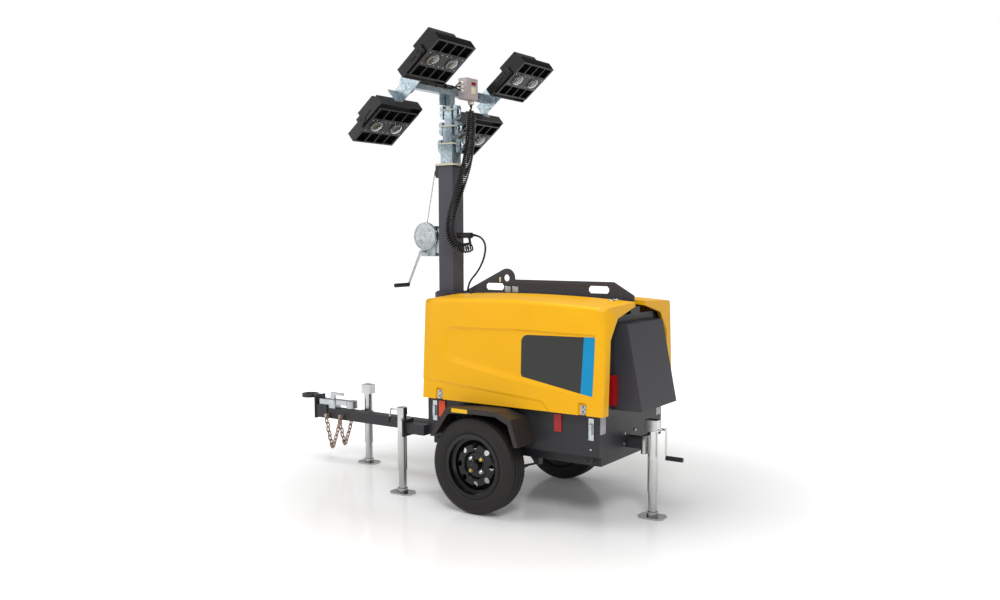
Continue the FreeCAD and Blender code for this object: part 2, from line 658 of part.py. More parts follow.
# Base tray: folded sheet that carries the engine and the canopy frame.
tray = doc.addObject("PartDesign::Body", "BaseTray")
outline = sketch_on(tray, "TrayOutline", "XY_Plane", "tray_bottom_z")
polygon(outline, [("tray_rear_x", "-tray_half"), ("tray_front_x", "-tray_half"), ("tray_front_x", "tray_half"),
                  ("tray_rear_x", "tray_half")])
pad(tray, outline, "tray_height")
hollow = sketch_on(tray, "TrayHollow", "XY_Plane", "tray_bottom_z + tray_wall")
polygon(hollow, [("tray_rear_x + tray_wall", "tray_wall - tray_half"), ("tray_front_x - tray_wall", "tray_wall - tray_half"),
                 ("tray_front_x - tray_wall", "tray_half - tray_wall"), ("tray_rear_x + tray_wall", "tray_half - tray_wall")])
pocket(tray, hollow, "tray_height")
keep("base_tray", tray)

# Drawbar: square tube under the cross plates.
bar_top = "(tray_bottom_z - plate_height)"
solid = box("DrawbarSolid", "plate_rear_x", "-drawbar_size / 2", f"{bar_top} - drawbar_size",
            "drawbar_front_x - plate_rear_x", "drawbar_size", "drawbar_size")
bore = box("DrawbarBore", "plate_rear_x - 1", "-drawbar_size / 2 + drawbar_wall",
           f"{bar_top} - drawbar_size + drawbar_wall", "drawbar_front_x - plate_rear_x + 2",
           "drawbar_size - 2 * drawbar_wall", "drawbar_size - 2 * drawbar_wall")
keep("drawbar", cut("Drawbar", solid, bore))

# Coupling head: end plate with two cheeks along the drawbar.
head_low = f"({bar_top} - drawbar_size - 8)"
pieces = [box("HeadPlate", "drawbar_front_x", "-head_half", head_low, "head_plate", "2 * head_half",
              f"head_top_z - {head_low}")]
for label, side in SIDES:
    pieces.append(box("Cheek_" + label, "drawbar_front_x - cheek_length",
                      side_low(side, "drawbar_size / 2", "cheek_wall"), f"{bar_top} - drawbar_size",
                      "cheek_length + 1", "cheek_wall", "drawbar_size + 20"))
keep("coupling_head", fuse("CouplingHead", *pieces))

# Towing eye: flat ring on a shank.
eye = doc.addObject("PartDesign::Body", "TowingEye")
ring = sketch_on(eye, "EyeRing", "XY_Plane", "eye_z - eye_thick / 2")
circle(ring, "eye_x", "0", "eye_outer")
pad(eye, ring, "eye_thick")
shank = sketch_on(eye, "EyeShank", "XY_Plane", "eye_z - eye_thick / 2")
polygon(shank, [("drawbar_front_x + head_plate", "-shank_half"), ("eye_x - eye_hole", "-shank_half"),
                ("eye_x - eye_hole", "shank_half"), ("drawbar_front_x + head_plate", "shank_half")])
pad(eye, shank, "eye_thick")
opening = sketch_on(eye, "EyeHole", "XY_Plane", "eye_z - eye_thick / 2 - 1")
circle(opening, "eye_x", "0", "eye_hole")
pocket(eye, opening, "eye_thick + 2")
keep("towing_eye", eye)

# Ball coupler, stored turned round on top of the drawbar.
pieces = [
    rod("CouplerCup", "z", "ball_x", "0", f"{bar_top} + cup_lift", "cup_radius", "cup_height"),
    box("CouplerNeck", "ball_x", "-coupler_half + 6", f"{bar_top} + cup_lift + 14", "coupler_length / 2",
        "2 * (coupler_half - 6)", "cup_height - 16"),
    box("CouplerClamp", "ball_x + coupler_length / 2 - 5", "-coupler_half", bar_top, "coupler_length / 2 + 5",
        "2 * coupler_half", "coupler_height"),
]
ball = doc.addObject("Part::Sphere", "BallSocket")
bind(ball, Radius="ball_radius")
place(ball, "ball_x", "0", f"{bar_top} + cup_lift + 8")
mouth = rod("BallMouth", "z", "ball_x", "0", f"{bar_top} + cup_lift - 1", "ball_radius", "9")
lever_x = "(ball_x + coupler_length / 2 + 20)"
lever_z = f"({bar_top} + coupler_height)"
pieces += [
    box("LeverFoot", lever_x, "-lever_width / 2", f"{lever_z} - 1", "34", "lever_width", "lever_height + 1"),
    box("LeverGrip", f"{lever_x} + 34 - lever_length", "-lever_width / 2", f"{lever_z} + lever_height - 16",
        "lever_length", "lever_width", "16"),
]
keep("ball_coupler", cut("BallCoupler", fuse("CouplerBody", *pieces), ball, mouth))

# Centre frame of the canopy: front post and roof spine, open below.
post = box("FrontPost", "post_x", "-spine_half + 6", "tray_bottom_z + tray_wall", "post_length",
           "2 * spine_half - 12", "spine_top_z - spine_height - tray_bottom_z - tray_wall + 1")
spine_low = "(spine_top_z - spine_height)"
spine_rear = "(tray_rear_x - bar_depth)"
spine = box("SpineSolid", spine_rear, "-spine_half", spine_low, f"shell_front_x - {spine_rear}", "2 * spine_half",
            "spine_height")
under = box("SpineUnder", f"{spine_rear} + 60", "-spine_half + spine_wall", f"{spine_low} - 1",
            f"post_x - {spine_rear} - 60", "2 * (spine_half - spine_wall)", "spine_height - spine_wall + 1")
pieces = [post, cut("SpineChannel", spine, under)]
for label, side in SIDES:
    for end in ("front", "rear"):
        for step, sign in (("A", -1), ("B", 1)):
            middle = f"(hinge_{end}_x + {sign} * (knuckle + knuckle_gap))"
            lug = rod(f"Lug{step}_{end}_{label}", "x", f"{middle} - knuckle / 2", f"{side} * hinge_y", "hinge_z",
                      "hinge_radius", "knuckle")
            leg = box(f"LugLeg{step}_{end}_{label}", f"{middle} - knuckle / 2",
                      side_low(side, "hinge_y - 6", "12"), "spine_top_z - 1", "knuckle", "12",
                      "hinge_z - spine_top_z + 1")
            pieces += [lug, leg]
        pieces.append(rod(f"HingePin_{end}_{label}", "x", f"hinge_{end}_x - knuckle", f"{side} * hinge_y", "hinge_z",
                          "hinge_pin", "2 * knuckle"))
keep("centre_frame", fuse("CentreFrame", *pieces))

# Lifting plate on edge along the spine, with a round eye and two hand slots.
lift = doc.addObject("PartDesign::Body", "LiftingPlate")
outline = sketch_on(lift, "LiftOutline", "XZ_Plane", "-lift_thick / 2")
polygon(outline, [
    ("lift_rear_x", "spine_top_z"), ("shell_front_x", "spine_top_z"), ("shell_front_x", "lift_end_z"),
    ("lift_eye_x + lift_eye_outer", "lift_top_z - 16"), ("lift_eye_x", "lift_top_z"),
    ("lift_flat_x", "lift_top_z"), ("lift_rear_x", "lift_end_z")])
pad(lift, outline, "lift_thick")
ring = sketch_on(lift, "LiftEye", "XZ_Plane", "-lift_thick / 2")
circle(ring, "lift_eye_x", "lift_eye_z", "lift_eye_outer")
pad(lift, ring, "lift_thick")
opening = sketch_on(lift, "LiftHole", "XZ_Plane", "-lift_thick / 2 - 1")
circle(opening, "lift_eye_x", "lift_eye_z", "lift_eye_hole")
feature = pocket(lift, opening, "lift_thick + 2")
for end in ("front", "rear"):
    slot = sketch_on(lift, "Slot_" + end, "XZ_Plane", "-lift_thick / 2 - 1")
    polygon(slot, [(f"slot_{end}_x - slot_length / 2", "slot_z - slot_height / 2"),
                   (f"slot_{end}_x + slot_length / 2", "slot_z - slot_height / 2"),
                   (f"slot_{end}_x + slot_length / 2", "slot_z + slot_height / 2"),
                   (f"slot_{end}_x - slot_length / 2", "slot_z + slot_height / 2")])
    feature = pocket(lift, slot, "lift_thick + 2")
keep("lifting_plate", lift)

# Rear panel with the top cross bar.
keep("rear_panel", fuse(
    "RearPanel",
    box("PanelSheet", "tray_rear_x", "-back_half", "tray_bottom_z + tray_height", "back_wall", "2 * back_half",
        f"{spine_low} - tray_bottom_z - tray_height"),
    box("PanelBar", spine_rear, "-bar_half", f"{spine_low} - bar_height", "bar_depth + 1", "2 * bar_half",
        "bar_height")))

# Rear hood: air outlet with an inclined face, open below.
hood = doc.addObject("PartDesign::Body", "RearHood")
outline = sketch_on(hood, "HoodOutline", "XZ_Plane", "-hood_half")
polygon(outline, [("tray_rear_x", "hood_low_z"), ("tray_rear_x", f"{spine_low} - bar_height - seat_gap"),
                  ("hood_top_x", "hood_top_z"), ("hood_low_x", "hood_low_z")])
pad(hood, outline, "2 * hood_half")
hollow = sketch_on(hood, "HoodHollow", "XZ_Plane", "-hood_half + hood_wall")
polygon(hollow, [("tray_rear_x + 1", "hood_low_z - 1"), ("tray_rear_x + 1", f"{spine_low} - bar_height - hood_wall - 2"),
                 ("hood_top_x + hood_wall", "hood_top_z - hood_wall"), ("hood_low_x + hood_wall + 1", "hood_low_z - 1")])
pocket(hood, hollow, "2 * (hood_half - hood_wall)")
keep("rear_hood", hood)

# Tail lamps: upright ovals on the rear panel.
ovals = []
for label, side in SIDES:
    middle = f"{side} * lamp_oval_y"
    radius = "lamp_oval_width / 2"
    rise = "(lamp_oval_height / 2 - lamp_oval_width / 2)"
    ovals.append(fuse(
        "TailLamp_" + label,
        box("OvalWeb_" + label, "tray_rear_x - lamp_oval_depth", f"{middle} - {radius}", f"lamp_oval_z - {rise}",
            "lamp_oval_depth", "lamp_oval_width", f"2 * {rise}"),
        rod("OvalTop_" + label, "x", "tray_rear_x - lamp_oval_depth", middle, f"lamp_oval_z + {rise}", radius,
            "lamp_oval_depth"),
        rod("OvalLow_" + label, "x", "tray_rear_x - lamp_oval_depth", middle, f"lamp_oval_z - {rise}", radius,
            "lamp_oval_depth")))
keep("tail_lamps", fuse("TailLamps", *ovals))

# Side reflectors and toggle latches on the tray's sides.
for colour, x in (("amber", "amber_x"), ("red", "red_x")):
    keep(colour + "_reflectors", fuse("Reflectors_" + colour, *[
        box(f"Reflector_{colour}_{label}", f"{x} - reflector_length / 2",
            side_low(side, "tray_half", "reflector_thick"), "reflector_z - reflector_height / 2",
            "reflector_length", "reflector_thick", "reflector_height") for label, side in SIDES]))
latches = []
for label, side in SIDES:
    for end in ("front", "rear"):
        middle = f"latch_{end}_x"
        latches.append(fuse(
            f"Latch_{end}_{label}",
            box(f"LatchPlate_{end}_{label}", f"{middle} - latch_width / 2", side_low(side, "tray_half", "4"),
                "latch_z - latch_height / 2", "latch_width", "4", "latch_height"),
            box(f"LatchLever_{end}_{label}", f"{middle} - latch_width / 4",
                side_low(side, "tray_half + 3", "latch_depth"), "latch_z - latch_height / 4", "latch_width / 2",
                "latch_depth", "latch_height / 2")))
keep("toggle_latches", fuse("ToggleLatches", *latches))

# Fenders: one moulded arch a side with an outer lip.
for label, side in SIDES:
    fender = doc.addObject("PartDesign::Body", "Fender_" + label)
    width = "fender_outer_y - fender_inner_y"
    outline = sketch_on(fender, "FenderOutline_" + label, "XZ_Plane", side_low(side, "fender_inner_y", width))
    polygon(outline, [("fender_front_x", "fender_low_z"), ("fender_front_x - 112", "fender_top_z - 12"),
                      ("fender_front_x - 300", "fender_top_z"), ("fender_rear_x + 150", "fender_top_z"),
                      ("fender_rear_x + 50", "fender_top_z - 36"), ("fender_rear_x", "fender_low_z")])
    pad(fender, outline, width)
    hollow = sketch_on(fender, "FenderHollow_" + label, "XZ_Plane",
                       side_low(side, "fender_inner_y - 1", f"{width} - fender_wall + 1"))
    polygon(hollow, [("fender_front_x - fender_wall", "fender_low_z - 1"),
                     ("fender_front_x - 112 - fender_wall", "fender_top_z - 12 - fender_wall"),
                     ("fender_front_x - 300", "fender_top_z - fender_wall"),
                     ("fender_rear_x + 150", "fender_top_z - fender_wall"),
                     ("fender_rear_x + 50 + fender_wall", "fender_top_z - 36 - fender_wall"),
                     ("fender_rear_x + fender_wall", "fender_low_z - 1")])
    pocket(fender, hollow, f"{width} - fender_wall + 1")
    arch = sketch_on(fender, "FenderArch_" + label, "XZ_Plane",
                     side_low(side, "fender_outer_y - fender_wall - 1", "fender_wall + 2"))
    polygon(arch, [("fender_front_x - fender_lip", "fender_low_z - 1"),
                   ("fender_front_x - 112 - fender_lip * 0.7", "fender_top_z - 12 - fender_lip"),
                   ("fender_front_x - 300", "fender_top_z - fender_lip"),
                   ("fender_rear_x + 150", "fender_top_z - fender_lip"),
                   ("fender_rear_x + 50 + fender_lip * 0.7", "fender_top_z - 36 - fender_lip"),
                   ("fender_rear_x + fender_lip", "fender_low_z - 1")])
    pocket(fender, arch, "fender_wall + 2")
    keep("fender_" + label, fender)

# Engine and generator, one closed block on the tray floor.
keep("engine_block", fuse(
    "EngineBlock",
    box("EngineLow", "engine_rear_x", "-engine_half", "tray_bottom_z + tray_wall", "engine_length",
        "2 * engine_half", "engine_height / 2"),
    box("EngineTop", "engine_rear_x + 60", "-engine_half + 40", "tray_bottom_z + tray_wall", "engine_length - 200",
        "2 * engine_half - 80", "engine_height")))

# Canopy: two hollow gull-wing shells hinged beside the lifting plate.
for label, side in SIDES:
    shell = doc.addObject("PartDesign::Body", "Shell_" + label)
    out = f"{side} * "
    rear = "(shell_front_x - shell_length)"
    outline = sketch_on(shell, "ShellSection_" + label, "YZ_Plane", rear)
    polygon(outline, [(f"{out}shell_inner_y", "shell_bottom_z"), (f"{out}shell_bottom_half", "shell_bottom_z"),
                      (f"{out}shell_top_half", "shell_edge_z"), (f"{out}shell_inner_y", "shell_ridge_z")])
    body_pad = pad(shell, outline, "shell_length")
    rounded = round_edges(shell, "ShellTopEdge_" + label, body_pad, "shell_round", "x",
                          [(f"{out}shell_top_half", "shell_edge_z")])
    hollow = sketch_on(shell, "ShellHollow_" + label, "YZ_Plane", f"{rear} + shell_wall")
    polygon(hollow, [(f"{out}(shell_inner_y - 1)", "shell_bottom_z - 1"),
                     (f"{out}(shell_bottom_half - shell_wall)", "shell_bottom_z - 1"),
                     (f"{out}(shell_top_half - shell_wall)", "shell_edge_z - shell_wall"),
                     (f"{out}(shell_inner_y - 1)", "shell_ridge_z - shell_wall")])
    pocket(shell, hollow, "shell_length - 2 * shell_wall")
    window = sketch_on(shell, "ShellRear_" + label, "YZ_Plane", f"{rear} - 1")
    polygon(window, [(f"{out}(shell_inner_y - 1)", "shell_bottom_z - 1"),
                     (f"{out}(shell_bottom_half - frame_side)", "shell_bottom_z - 1"),
                     (f"{out}(shell_top_half - frame_side + 12)", "shell_edge_z - 170"),
                     (f"{out}(shell_top_half - 130)", "shell_edge_z - 60"),
                     (f"{out}(shell_inner_y - 1)", "shell_ridge_z - shell_wall")])
    last = pocket(shell, window, "shell_wall + 2")
    doc.recompute()
    whole = doc.addObject("Part::MultiFuse", "ShellWhole_" + label)
    parts = [shell]
    for end in ("front", "rear"):
        middle = f"hinge_{end}_x"
        barrel = rod(f"Barrel_{end}_{label}", "x", f"{middle} - knuckle / 2", f"{side} * hinge_y", "hinge_z",
                     "hinge_radius", "knuckle")
        flap = box(f"Flap_{end}_{label}", f"{middle} - knuckle / 2", side_low(side, "hinge_y", "leaf_reach"),
                   "shell_ridge_z - 2.5", "knuckle", "leaf_reach", "hinge_plate")
        eyelet = rod(f"Eyelet_{end}_{label}", "x", f"{middle} - knuckle", f"{side} * hinge_y", "hinge_z",
                     "hinge_pin + shaft_play", "2 * knuckle")
        parts.append(cut(f"Leaf_{end}_{label}", fuse(f"LeafSolid_{end}_{label}", barrel, flap), eyelet))
    whole.Shapes = parts
    keep("shell_" + label, whole)

# Mast support: pedestal with the lower pivot, and the upper bearing housing on the centre frame.
pedestal = box("Pedestal", "mast_x - pedestal_half", "-pedestal_half", bar_top, "2 * pedestal_half",
               "2 * pedestal_half", f"mast_foot_z - {bar_top}")
pivot = rod("MastPivot", "z", "mast_x", "0", "mast_foot_z - 1", "pivot_radius", "pivot_height + 1")
keep("mast_pedestal", fuse("MastPedestal", pedestal, pivot))
housing = cut("BearingHousing",
              fuse("HousingSolid",
                   rod("HousingDisc", "z", "mast_x", "0", "bearing_z", "ring_outer", "bearing_height"),
                   box("HousingArm", "shell_front_x", "-spine_half + 6", spine_low, "mast_x - shell_front_x - 60",
                       "2 * spine_half - 12", f"bearing_z + bearing_height - {spine_low}")),
              rod("HousingBore", "z", "mast_x", "0", f"{spine_low} - 1", "bearing_radius + shaft_play",
                  f"bearing_z + bearing_height - {spine_low} + 2"))
keep("mast_bearing", housing)

# Outer mast: square tube with foot plate, bearing ring, head flange and wear pads.
tube = square_tube("MastTubeWall", "mast_x", "0", "mast_foot_z + seat_gap", "mast_top_z", "mast_size", "mast_wall")
foot = cut("MastFoot",
           box("MastFootSolid", "mast_x - mast_size / 2", "-mast_size / 2", "mast_foot_z + seat_gap", "mast_size",
               "mast_size", "mast_plate"),
           rod("MastFootBore", "z", "mast_x", "0", "mast_foot_z - 1", "pivot_radius + shaft_play", "mast_plate + 4"))
inside = "(mast_size - 2 * mast_wall)"
ring = cut("MastRing",
           rod("MastRingDisc", "z", "mast_x", "0", "bearing_z", "bearing_radius", "bearing_height"),
           box("MastRingCore", f"mast_x - {inside} / 2", f"-{inside} / 2", "bearing_z - 1", inside, inside,
               "bearing_height + 2"))
stop = cut("MastStop",
           rod("MastStopDisc", "z", "mast_x", "0", "bearing_z + bearing_height + seat_gap", "bearing_radius + 10",
               "8"),
           box("MastStopCore", f"mast_x - {inside} / 2", f"-{inside} / 2", "bearing_z + bearing_height - 1", inside,
               inside, "12"))
flange = cut("MastFlange",
             box("MastFlangeSolid", "mast_x - mast_size / 2 - collar_extra", "-mast_size / 2 - collar_extra",
                 "mast_top_z - mast_plate", "mast_size + 2 * collar_extra", "mast_size + 2 * collar_extra",
                 "mast_plate"),
             box("MastFlangeCore", f"mast_x - {inside} / 2", f"-{inside} / 2", "mast_top_z - mast_plate - 1", inside,
                 inside, "mast_plate + 2"))


def wear_pads(name, outer_inside, inner_size, top):
    """Four pads inside a tube's top end that guide the next section."""
    made = []
    thick = f"(({outer_inside} - {inner_size}) / 2 - seat_gap)"
    for number, (x_sign, y_sign) in enumerate(((1, 0), (-1, 0), (0, 1), (0, -1))):
        if x_sign:
            near = f"{x_sign} * {outer_inside} / 2"
            low = f"mast_x + {near}" + (f" - {thick}" if x_sign > 0 else "")
            made.append(box(f"{name}{number}", low, "-pad_width / 2", f"{top} - pad_height", thick, "pad_width",
                            "pad_height"))
        else:
            near = f"{y_sign} * {outer_inside} / 2"
            low = near + (f" - {thick}" if y_sign > 0 else "")
            made.append(box(f"{name}{number}", "mast_x - pad_width / 2", low, f"{top} - pad_height", "pad_width",
                            thick, "pad_height"))
    return made


# Pulley and its ears on the front of the mast head.
ears = [box("PulleyEar_" + label, "mast_x + mast_size / 2 + collar_extra - 1", side_low(side, "8", "6"),
            "pulley_z - 30", "pulley_x - mast_x - mast_size / 2 + 4", "6", "mast_top_z - pulley_z + 30")
        for label, side in SIDES]
pulley = rod("Pulley", "y", "pulley_x", "-8", "pulley_z", "pulley_radius", "16")
keep("mast_tube", fuse("MastTube", tube, foot, ring, stop, flange, pulley, *ears,
                       *wear_pads("MastPad", inside, "second_size", "mast_top_z")))

# Inner sections: galvanised tubes, each with a collar and wear pads at its top.
SECTIONS = [
    # label, size, top, size of the next
    ("mast_section_2", "second_size", "second_top_z", "third_size"),
    ("mast_section_3", "third_size", "third_top_z", "fourth_size"),
    ("mast_section_4", "fourth_size", "fourth_top_z", "fifth_size"),
]
for label, width, top, following in SECTIONS:
    name = label.title().replace("_", "")
    wall = square_tube(name + "Tube", "mast_x", "0", "section_foot_z", top, width, "section_wall")
    bore = f"({width} - 2 * section_wall)"
    collar = cut(name + "Collar",
                 box(name + "CollarSolid", f"mast_x - {width} / 2 - collar_extra", f"-{width} / 2 - collar_extra",
                     f"{top} - collar_thick", f"{width} + 2 * collar_extra", f"{width} + 2 * collar_extra",
                     "collar_thick"),
                 box(name + "CollarCore", f"mast_x - {bore} / 2", f"-{bore} / 2", f"{top} - collar_thick - 1", bore,
                     bore, "collar_thick + 2"))
    keep(label, fuse(name, wall, collar, *wear_pads(name + "Pad", bore, following, top)))

# Top section and lamp crossbar.
bar_low = "(bar_z - bar_size / 2)"
keep("mast_head", square_tube("MastHead", "mast_x", "0", "section_foot_z", bar_low, "fifth_size", "section_wall"))
bar_solid = box("CrossbarSolid", "mast_x - bar_size / 2", "-(lamp_y - 30)", bar_low, "bar_size",
                "2 * (lamp_y - 30)", "bar_size")
bar_core = box("CrossbarCore", "mast_x - bar_size / 2 + bar_wall", "-lamp_y", f"{bar_low} + bar_wall",
               "bar_size - 2 * bar_wall", "2 * lamp_y", "bar_size - 2 * bar_wall")
pieces = [cut("CrossbarTube", bar_solid, bar_core)]
for label, side in SIDES:
    pieces.append(rod("EndDisc_" + label, "y", "mast_x", side_low(side, "lamp_y - 30 - 1", "end_thick + 1"), "bar_z",
                      "end_disc", "end_thick + 1"))
    pieces.append(box("Gusset_" + label, "mast_x + bar_size / 2", side_low(side, "0", "75"), f"{bar_low} - 60",
                      "6", "75", "60 + bar_size / 2"))
keep("crossbar", fuse("Crossbar", *pieces))


def tilted(thing, x, y, z):
    """Place a piece of the lamp group in the lamps' tilted frame."""
    thing.Placement = FreeCAD.Placement(Vector(), FreeCAD.Rotation(Vector(0, -1, 0), value("lamp_tilt")))
    thing.setExpression("Placement.Rotation.Angle", size_text("lamp_tilt"))
    return place(thing, x, y, z)


# Lamp brackets and yokes, in the tilted frame: local -X is the light's way, local Z runs up the face.
brackets = []
yokes = []
for label, side in SIDES:
    web = box("BracketWeb_" + label, "-bracket_half - 15", side_low(side, "lamp_y - 30 + end_thick", "bracket_wall"),
              "-bracket_reach", "2 * bracket_half", "bracket_wall", "2 * bracket_reach")
    parts = [web]
    for level, sign in (("upper", 1), ("lower", -1)):
        near = "bracket_reach - bracket_wall" if sign > 0 else "-bracket_reach"
        parts.append(box(f"BracketSeat_{level}_{label}", "-bracket_half - 15",
                         side_low(side, "lamp_y - 30 + end_thick", "70"), near, "2 * bracket_half", "70",
                         "bracket_wall"))
        half = "(lamp_width / 2 + yoke_gap + yoke_wall)"
        middle = "(pivot_back - face_lead)"
        base_low = "bracket_reach" if sign > 0 else "-bracket_reach - yoke_wall"
        base = box(f"YokeBase_{level}_{label}", f"{middle} - yoke_width / 2", f"{side} * lamp_y - {half}", base_low,
                   "yoke_width", f"2 * {half}", "yoke_wall")
        arms = []
        for hand, turn in SIDES:
            arm_y = side_low(turn, f"{half} - yoke_wall", "yoke_wall")
            reach = "(lamp_reach - bracket_reach + yoke_end)"
            arms.append(box(f"YokeArm_{level}_{label}_{hand}", f"{middle} - yoke_width / 2",
                            f"{side} * lamp_y + {arm_y}",
                            "bracket_reach" if sign > 0 else f"-bracket_reach - {reach}", "yoke_width", "yoke_wall",
                            reach))
        hole = rod(f"YokeHole_{level}_{label}", "y", middle, f"{side} * lamp_y - {half} - 1", f"{sign} * lamp_reach",
                   "tilt_pin + shaft_play", f"2 * {half} + 2")
        yokes.append(cut(f"Yoke_{level}_{label}", fuse(f"YokeSolid_{level}_{label}", base, *arms), hole))
    brackets.append(fuse("Bracket_" + label, *parts))
keep("lamp_brackets", tilted(fuse("LampBrackets", *brackets), "0", "0", "0"), "mast_x", "0", "bar_z")
keep("lamp_yokes", tilted(fuse("LampYokes", *yokes), "0", "0", "0"), "mast_x", "0", "bar_z")

# Four lamps, each built about its own tilt axis: finned frame, driver box, two reflectors.
LAMPS = [
    # label, side, up the face from the crossbar
    ("lamp_upper_left", 1, 1),
    ("lamp_lower_left", 1, -1),
    ("lamp_upper_right", -1, 1),
    ("lamp_lower_right", -1, -1),
]
for label, side, level in LAMPS:
    name = label.title().replace("_", "")
    face = "(-pivot_back)"
    frame_solid = box(name + "Frame", face, "-lamp_width / 2", "-lamp_height / 2", "lamp_depth", "lamp_width",
                      "lamp_height")
    pockets = []
    for row, sign in (("High", 1), ("Low", -1)):
        height = "(lamp_height / 2 - plate_half - 2 * frame_edge)"
        low = "plate_half + frame_edge" if sign > 0 else f"-plate_half - frame_edge - {height}"
        for cell in range(4):
            pockets.append(box(f"{name}Pocket{row}{cell}", f"{face} - 1", f"({cell} - 2) * fin_pitch + fin_thick / 2", low,
                               "pocket_depth + 1", "fin_pitch - fin_thick", height))
    for hand, turn in SIDES:
        pockets.append(rod(f"{name}Bowl_{hand}", "x", f"{face} - 1", f"{turn} * optic_y", "0", "optic_radius",
                           "optic_depth + 1"))
    pieces = [cut(name + "Pocketed", frame_solid, *pockets)]
    pieces.append(box(name + "Driver", f"{face} + lamp_depth - 1", "-driver_half", "-driver_low", "driver_depth + 1",
                      "2 * driver_half", "driver_low + driver_high"))
    pieces.append(rod(name + "Bosses", "y", "0", "-(lamp_width / 2 + yoke_gap - seat_gap)", "0", "boss_radius",
                      "lamp_width + 2 * (yoke_gap - seat_gap)"))
    pieces.append(rod(name + "Pins", "y", "0", "-(lamp_width / 2 + yoke_gap + yoke_wall + 5)", "0", "tilt_pin",
                      "lamp_width + 2 * (yoke_gap + yoke_wall + 5)"))
    body = fuse(name, *pieces)
    body = cut(name + "Bowls", body, *[rod(f"{name}Clear_{hand}", "x", f"{face} - 1", f"{turn} * optic_y", "0",
                                          "optic_radius", "optic_depth + 1") for hand, turn in SIDES])
    spot_x = f"mast_x - (face_lead - pivot_back) * cos(lamp_tilt) - {level} * lamp_reach * sin(lamp_tilt)"
    spot_z = f"bar_z - (face_lead - pivot_back) * sin(lamp_tilt) + {level} * lamp_reach * cos(lamp_tilt)"
    keep(label, tilted(body, "0", "0", "0"), spot_x, f"{side} * lamp_y", spot_z)
    cups = []
    for hand, turn in SIDES:
        cup = rod(f"{name}Cup_{hand}", "x", f"{face} + 4", f"{turn} * optic_y", "0", "optic_radius", "optic_depth - 4")
        dish = doc.addObject("Part::Sphere", f"{name}Dish_{hand}")
        bind(dish, Radius="optic_radius * 1.3")
        place(dish, f"{face} + optic_depth - 4 - optic_radius * 1.3", f"{turn} * optic_y", "0")
        cups.append(cut(f"{name}Reflector_{hand}", cup, dish))
    keep(label.replace("lamp", "optics"), tilted(fuse(name + "Optics", *cups), "0", "0", "0"), spot_x,
         f"{side} * lamp_y", spot_z)

# Junction box behind the crossbar, with a nut under it.
keep("junction_box", fuse(
    "JunctionBox",
    box("BoxBody", "mast_x - bar_size / 2 - box_depth", "box_y - box_width / 2", "box_low_z", "box_depth", "box_width",
        "box_height"),
    rod("BoxNut", "z", "mast_x - bar_size / 2 - box_depth / 2", "box_y - 30", "box_low_z - 26", "19", "27")))

# Winch on the front of the mast.
plate_x = "(mast_x + mast_size / 2)"
pieces = [box("WinchSeat", plate_x, "-winch_half + 6", "winch_low_z + 20", "winch_seat", "2 * winch_half - 12",
              "winch_height - 40"),
          box("WinchBack", f"{plate_x} + winch_seat - 1", "-winch_half", "winch_low_z", "winch_wall + 1",
              "2 * winch_half", "winch_height")]
holes = [rod("ShaftHole", "y", "winch_x", "-winch_half - 1", "winch_z", "12 + shaft_play", "2 * winch_half + 2"),
         rod("CrankHole", "y", "crank_x", "-winch_half - 1", "crank_z", "crank_radius + shaft_play",
             "2 * winch_half + 2")]
for label, side in SIDES:
    pieces.append(box("WinchCheek_" + label, f"{plate_x} + winch_seat + winch_wall - 1",
                      side_low(side, "winch_half - winch_wall", "winch_wall"), "winch_low_z", "110", "winch_wall",
                      "winch_height"))
keep("winch_frame", cut("WinchFrame", fuse("WinchSolid", *pieces), *holes))
keep("winch_drum", fuse(
    "WinchDrum",
    rod("DrumCore", "y", "winch_x", "-drum_half", "winch_z", "drum_radius", "2 * drum_half"),
    rod("DrumFlangeA", "y", "winch_x", "-drum_half", "winch_z", "drum_flange", "3"),
    rod("DrumFlangeB", "y", "winch_x", "drum_half - 3", "winch_z", "drum_flange", "3"),
    rod("DrumShaft", "y", "winch_x", "-winch_half - 8", "winch_z", "12", "2 * winch_half + 10"),
    rod("GearCover", "y", "winch_x", "winch_half + seat_gap", "winch_z", "gear_radius", "gear_thick")))
arm = box("CrankArm", "-8", "crank_y", "-crank_arm", "16", "6", "crank_arm + 10")
arm.Placement = FreeCAD.Placement(Vector(), FreeCAD.Rotation(Vector(0, -1, 0), value("crank_lean")))
place(arm, "crank_x - 8 * cos(crank_lean) + crank_arm * sin(crank_lean)", "crank_y",
      "crank_z - 8 * sin(crank_lean) - crank_arm * cos(crank_lean)")
arm.setExpression("Placement.Rotation.Angle", size_text("crank_lean"))
grip_x = "(crank_x + (crank_arm - 12) * sin(crank_lean))"
grip_z = "(crank_z - (crank_arm - 12) * cos(crank_lean))"
keep("winch_crank", fuse(
    "WinchCrank", arm,
    rod("CrankShaft", "y", "crank_x", "-winch_half - 6", "crank_z", "crank_radius", "crank_y + winch_half + 12"),
    rod("CrankGrip", "y", grip_x, "crank_y + 3", grip_z, "grip_radius", "crank_grip")))


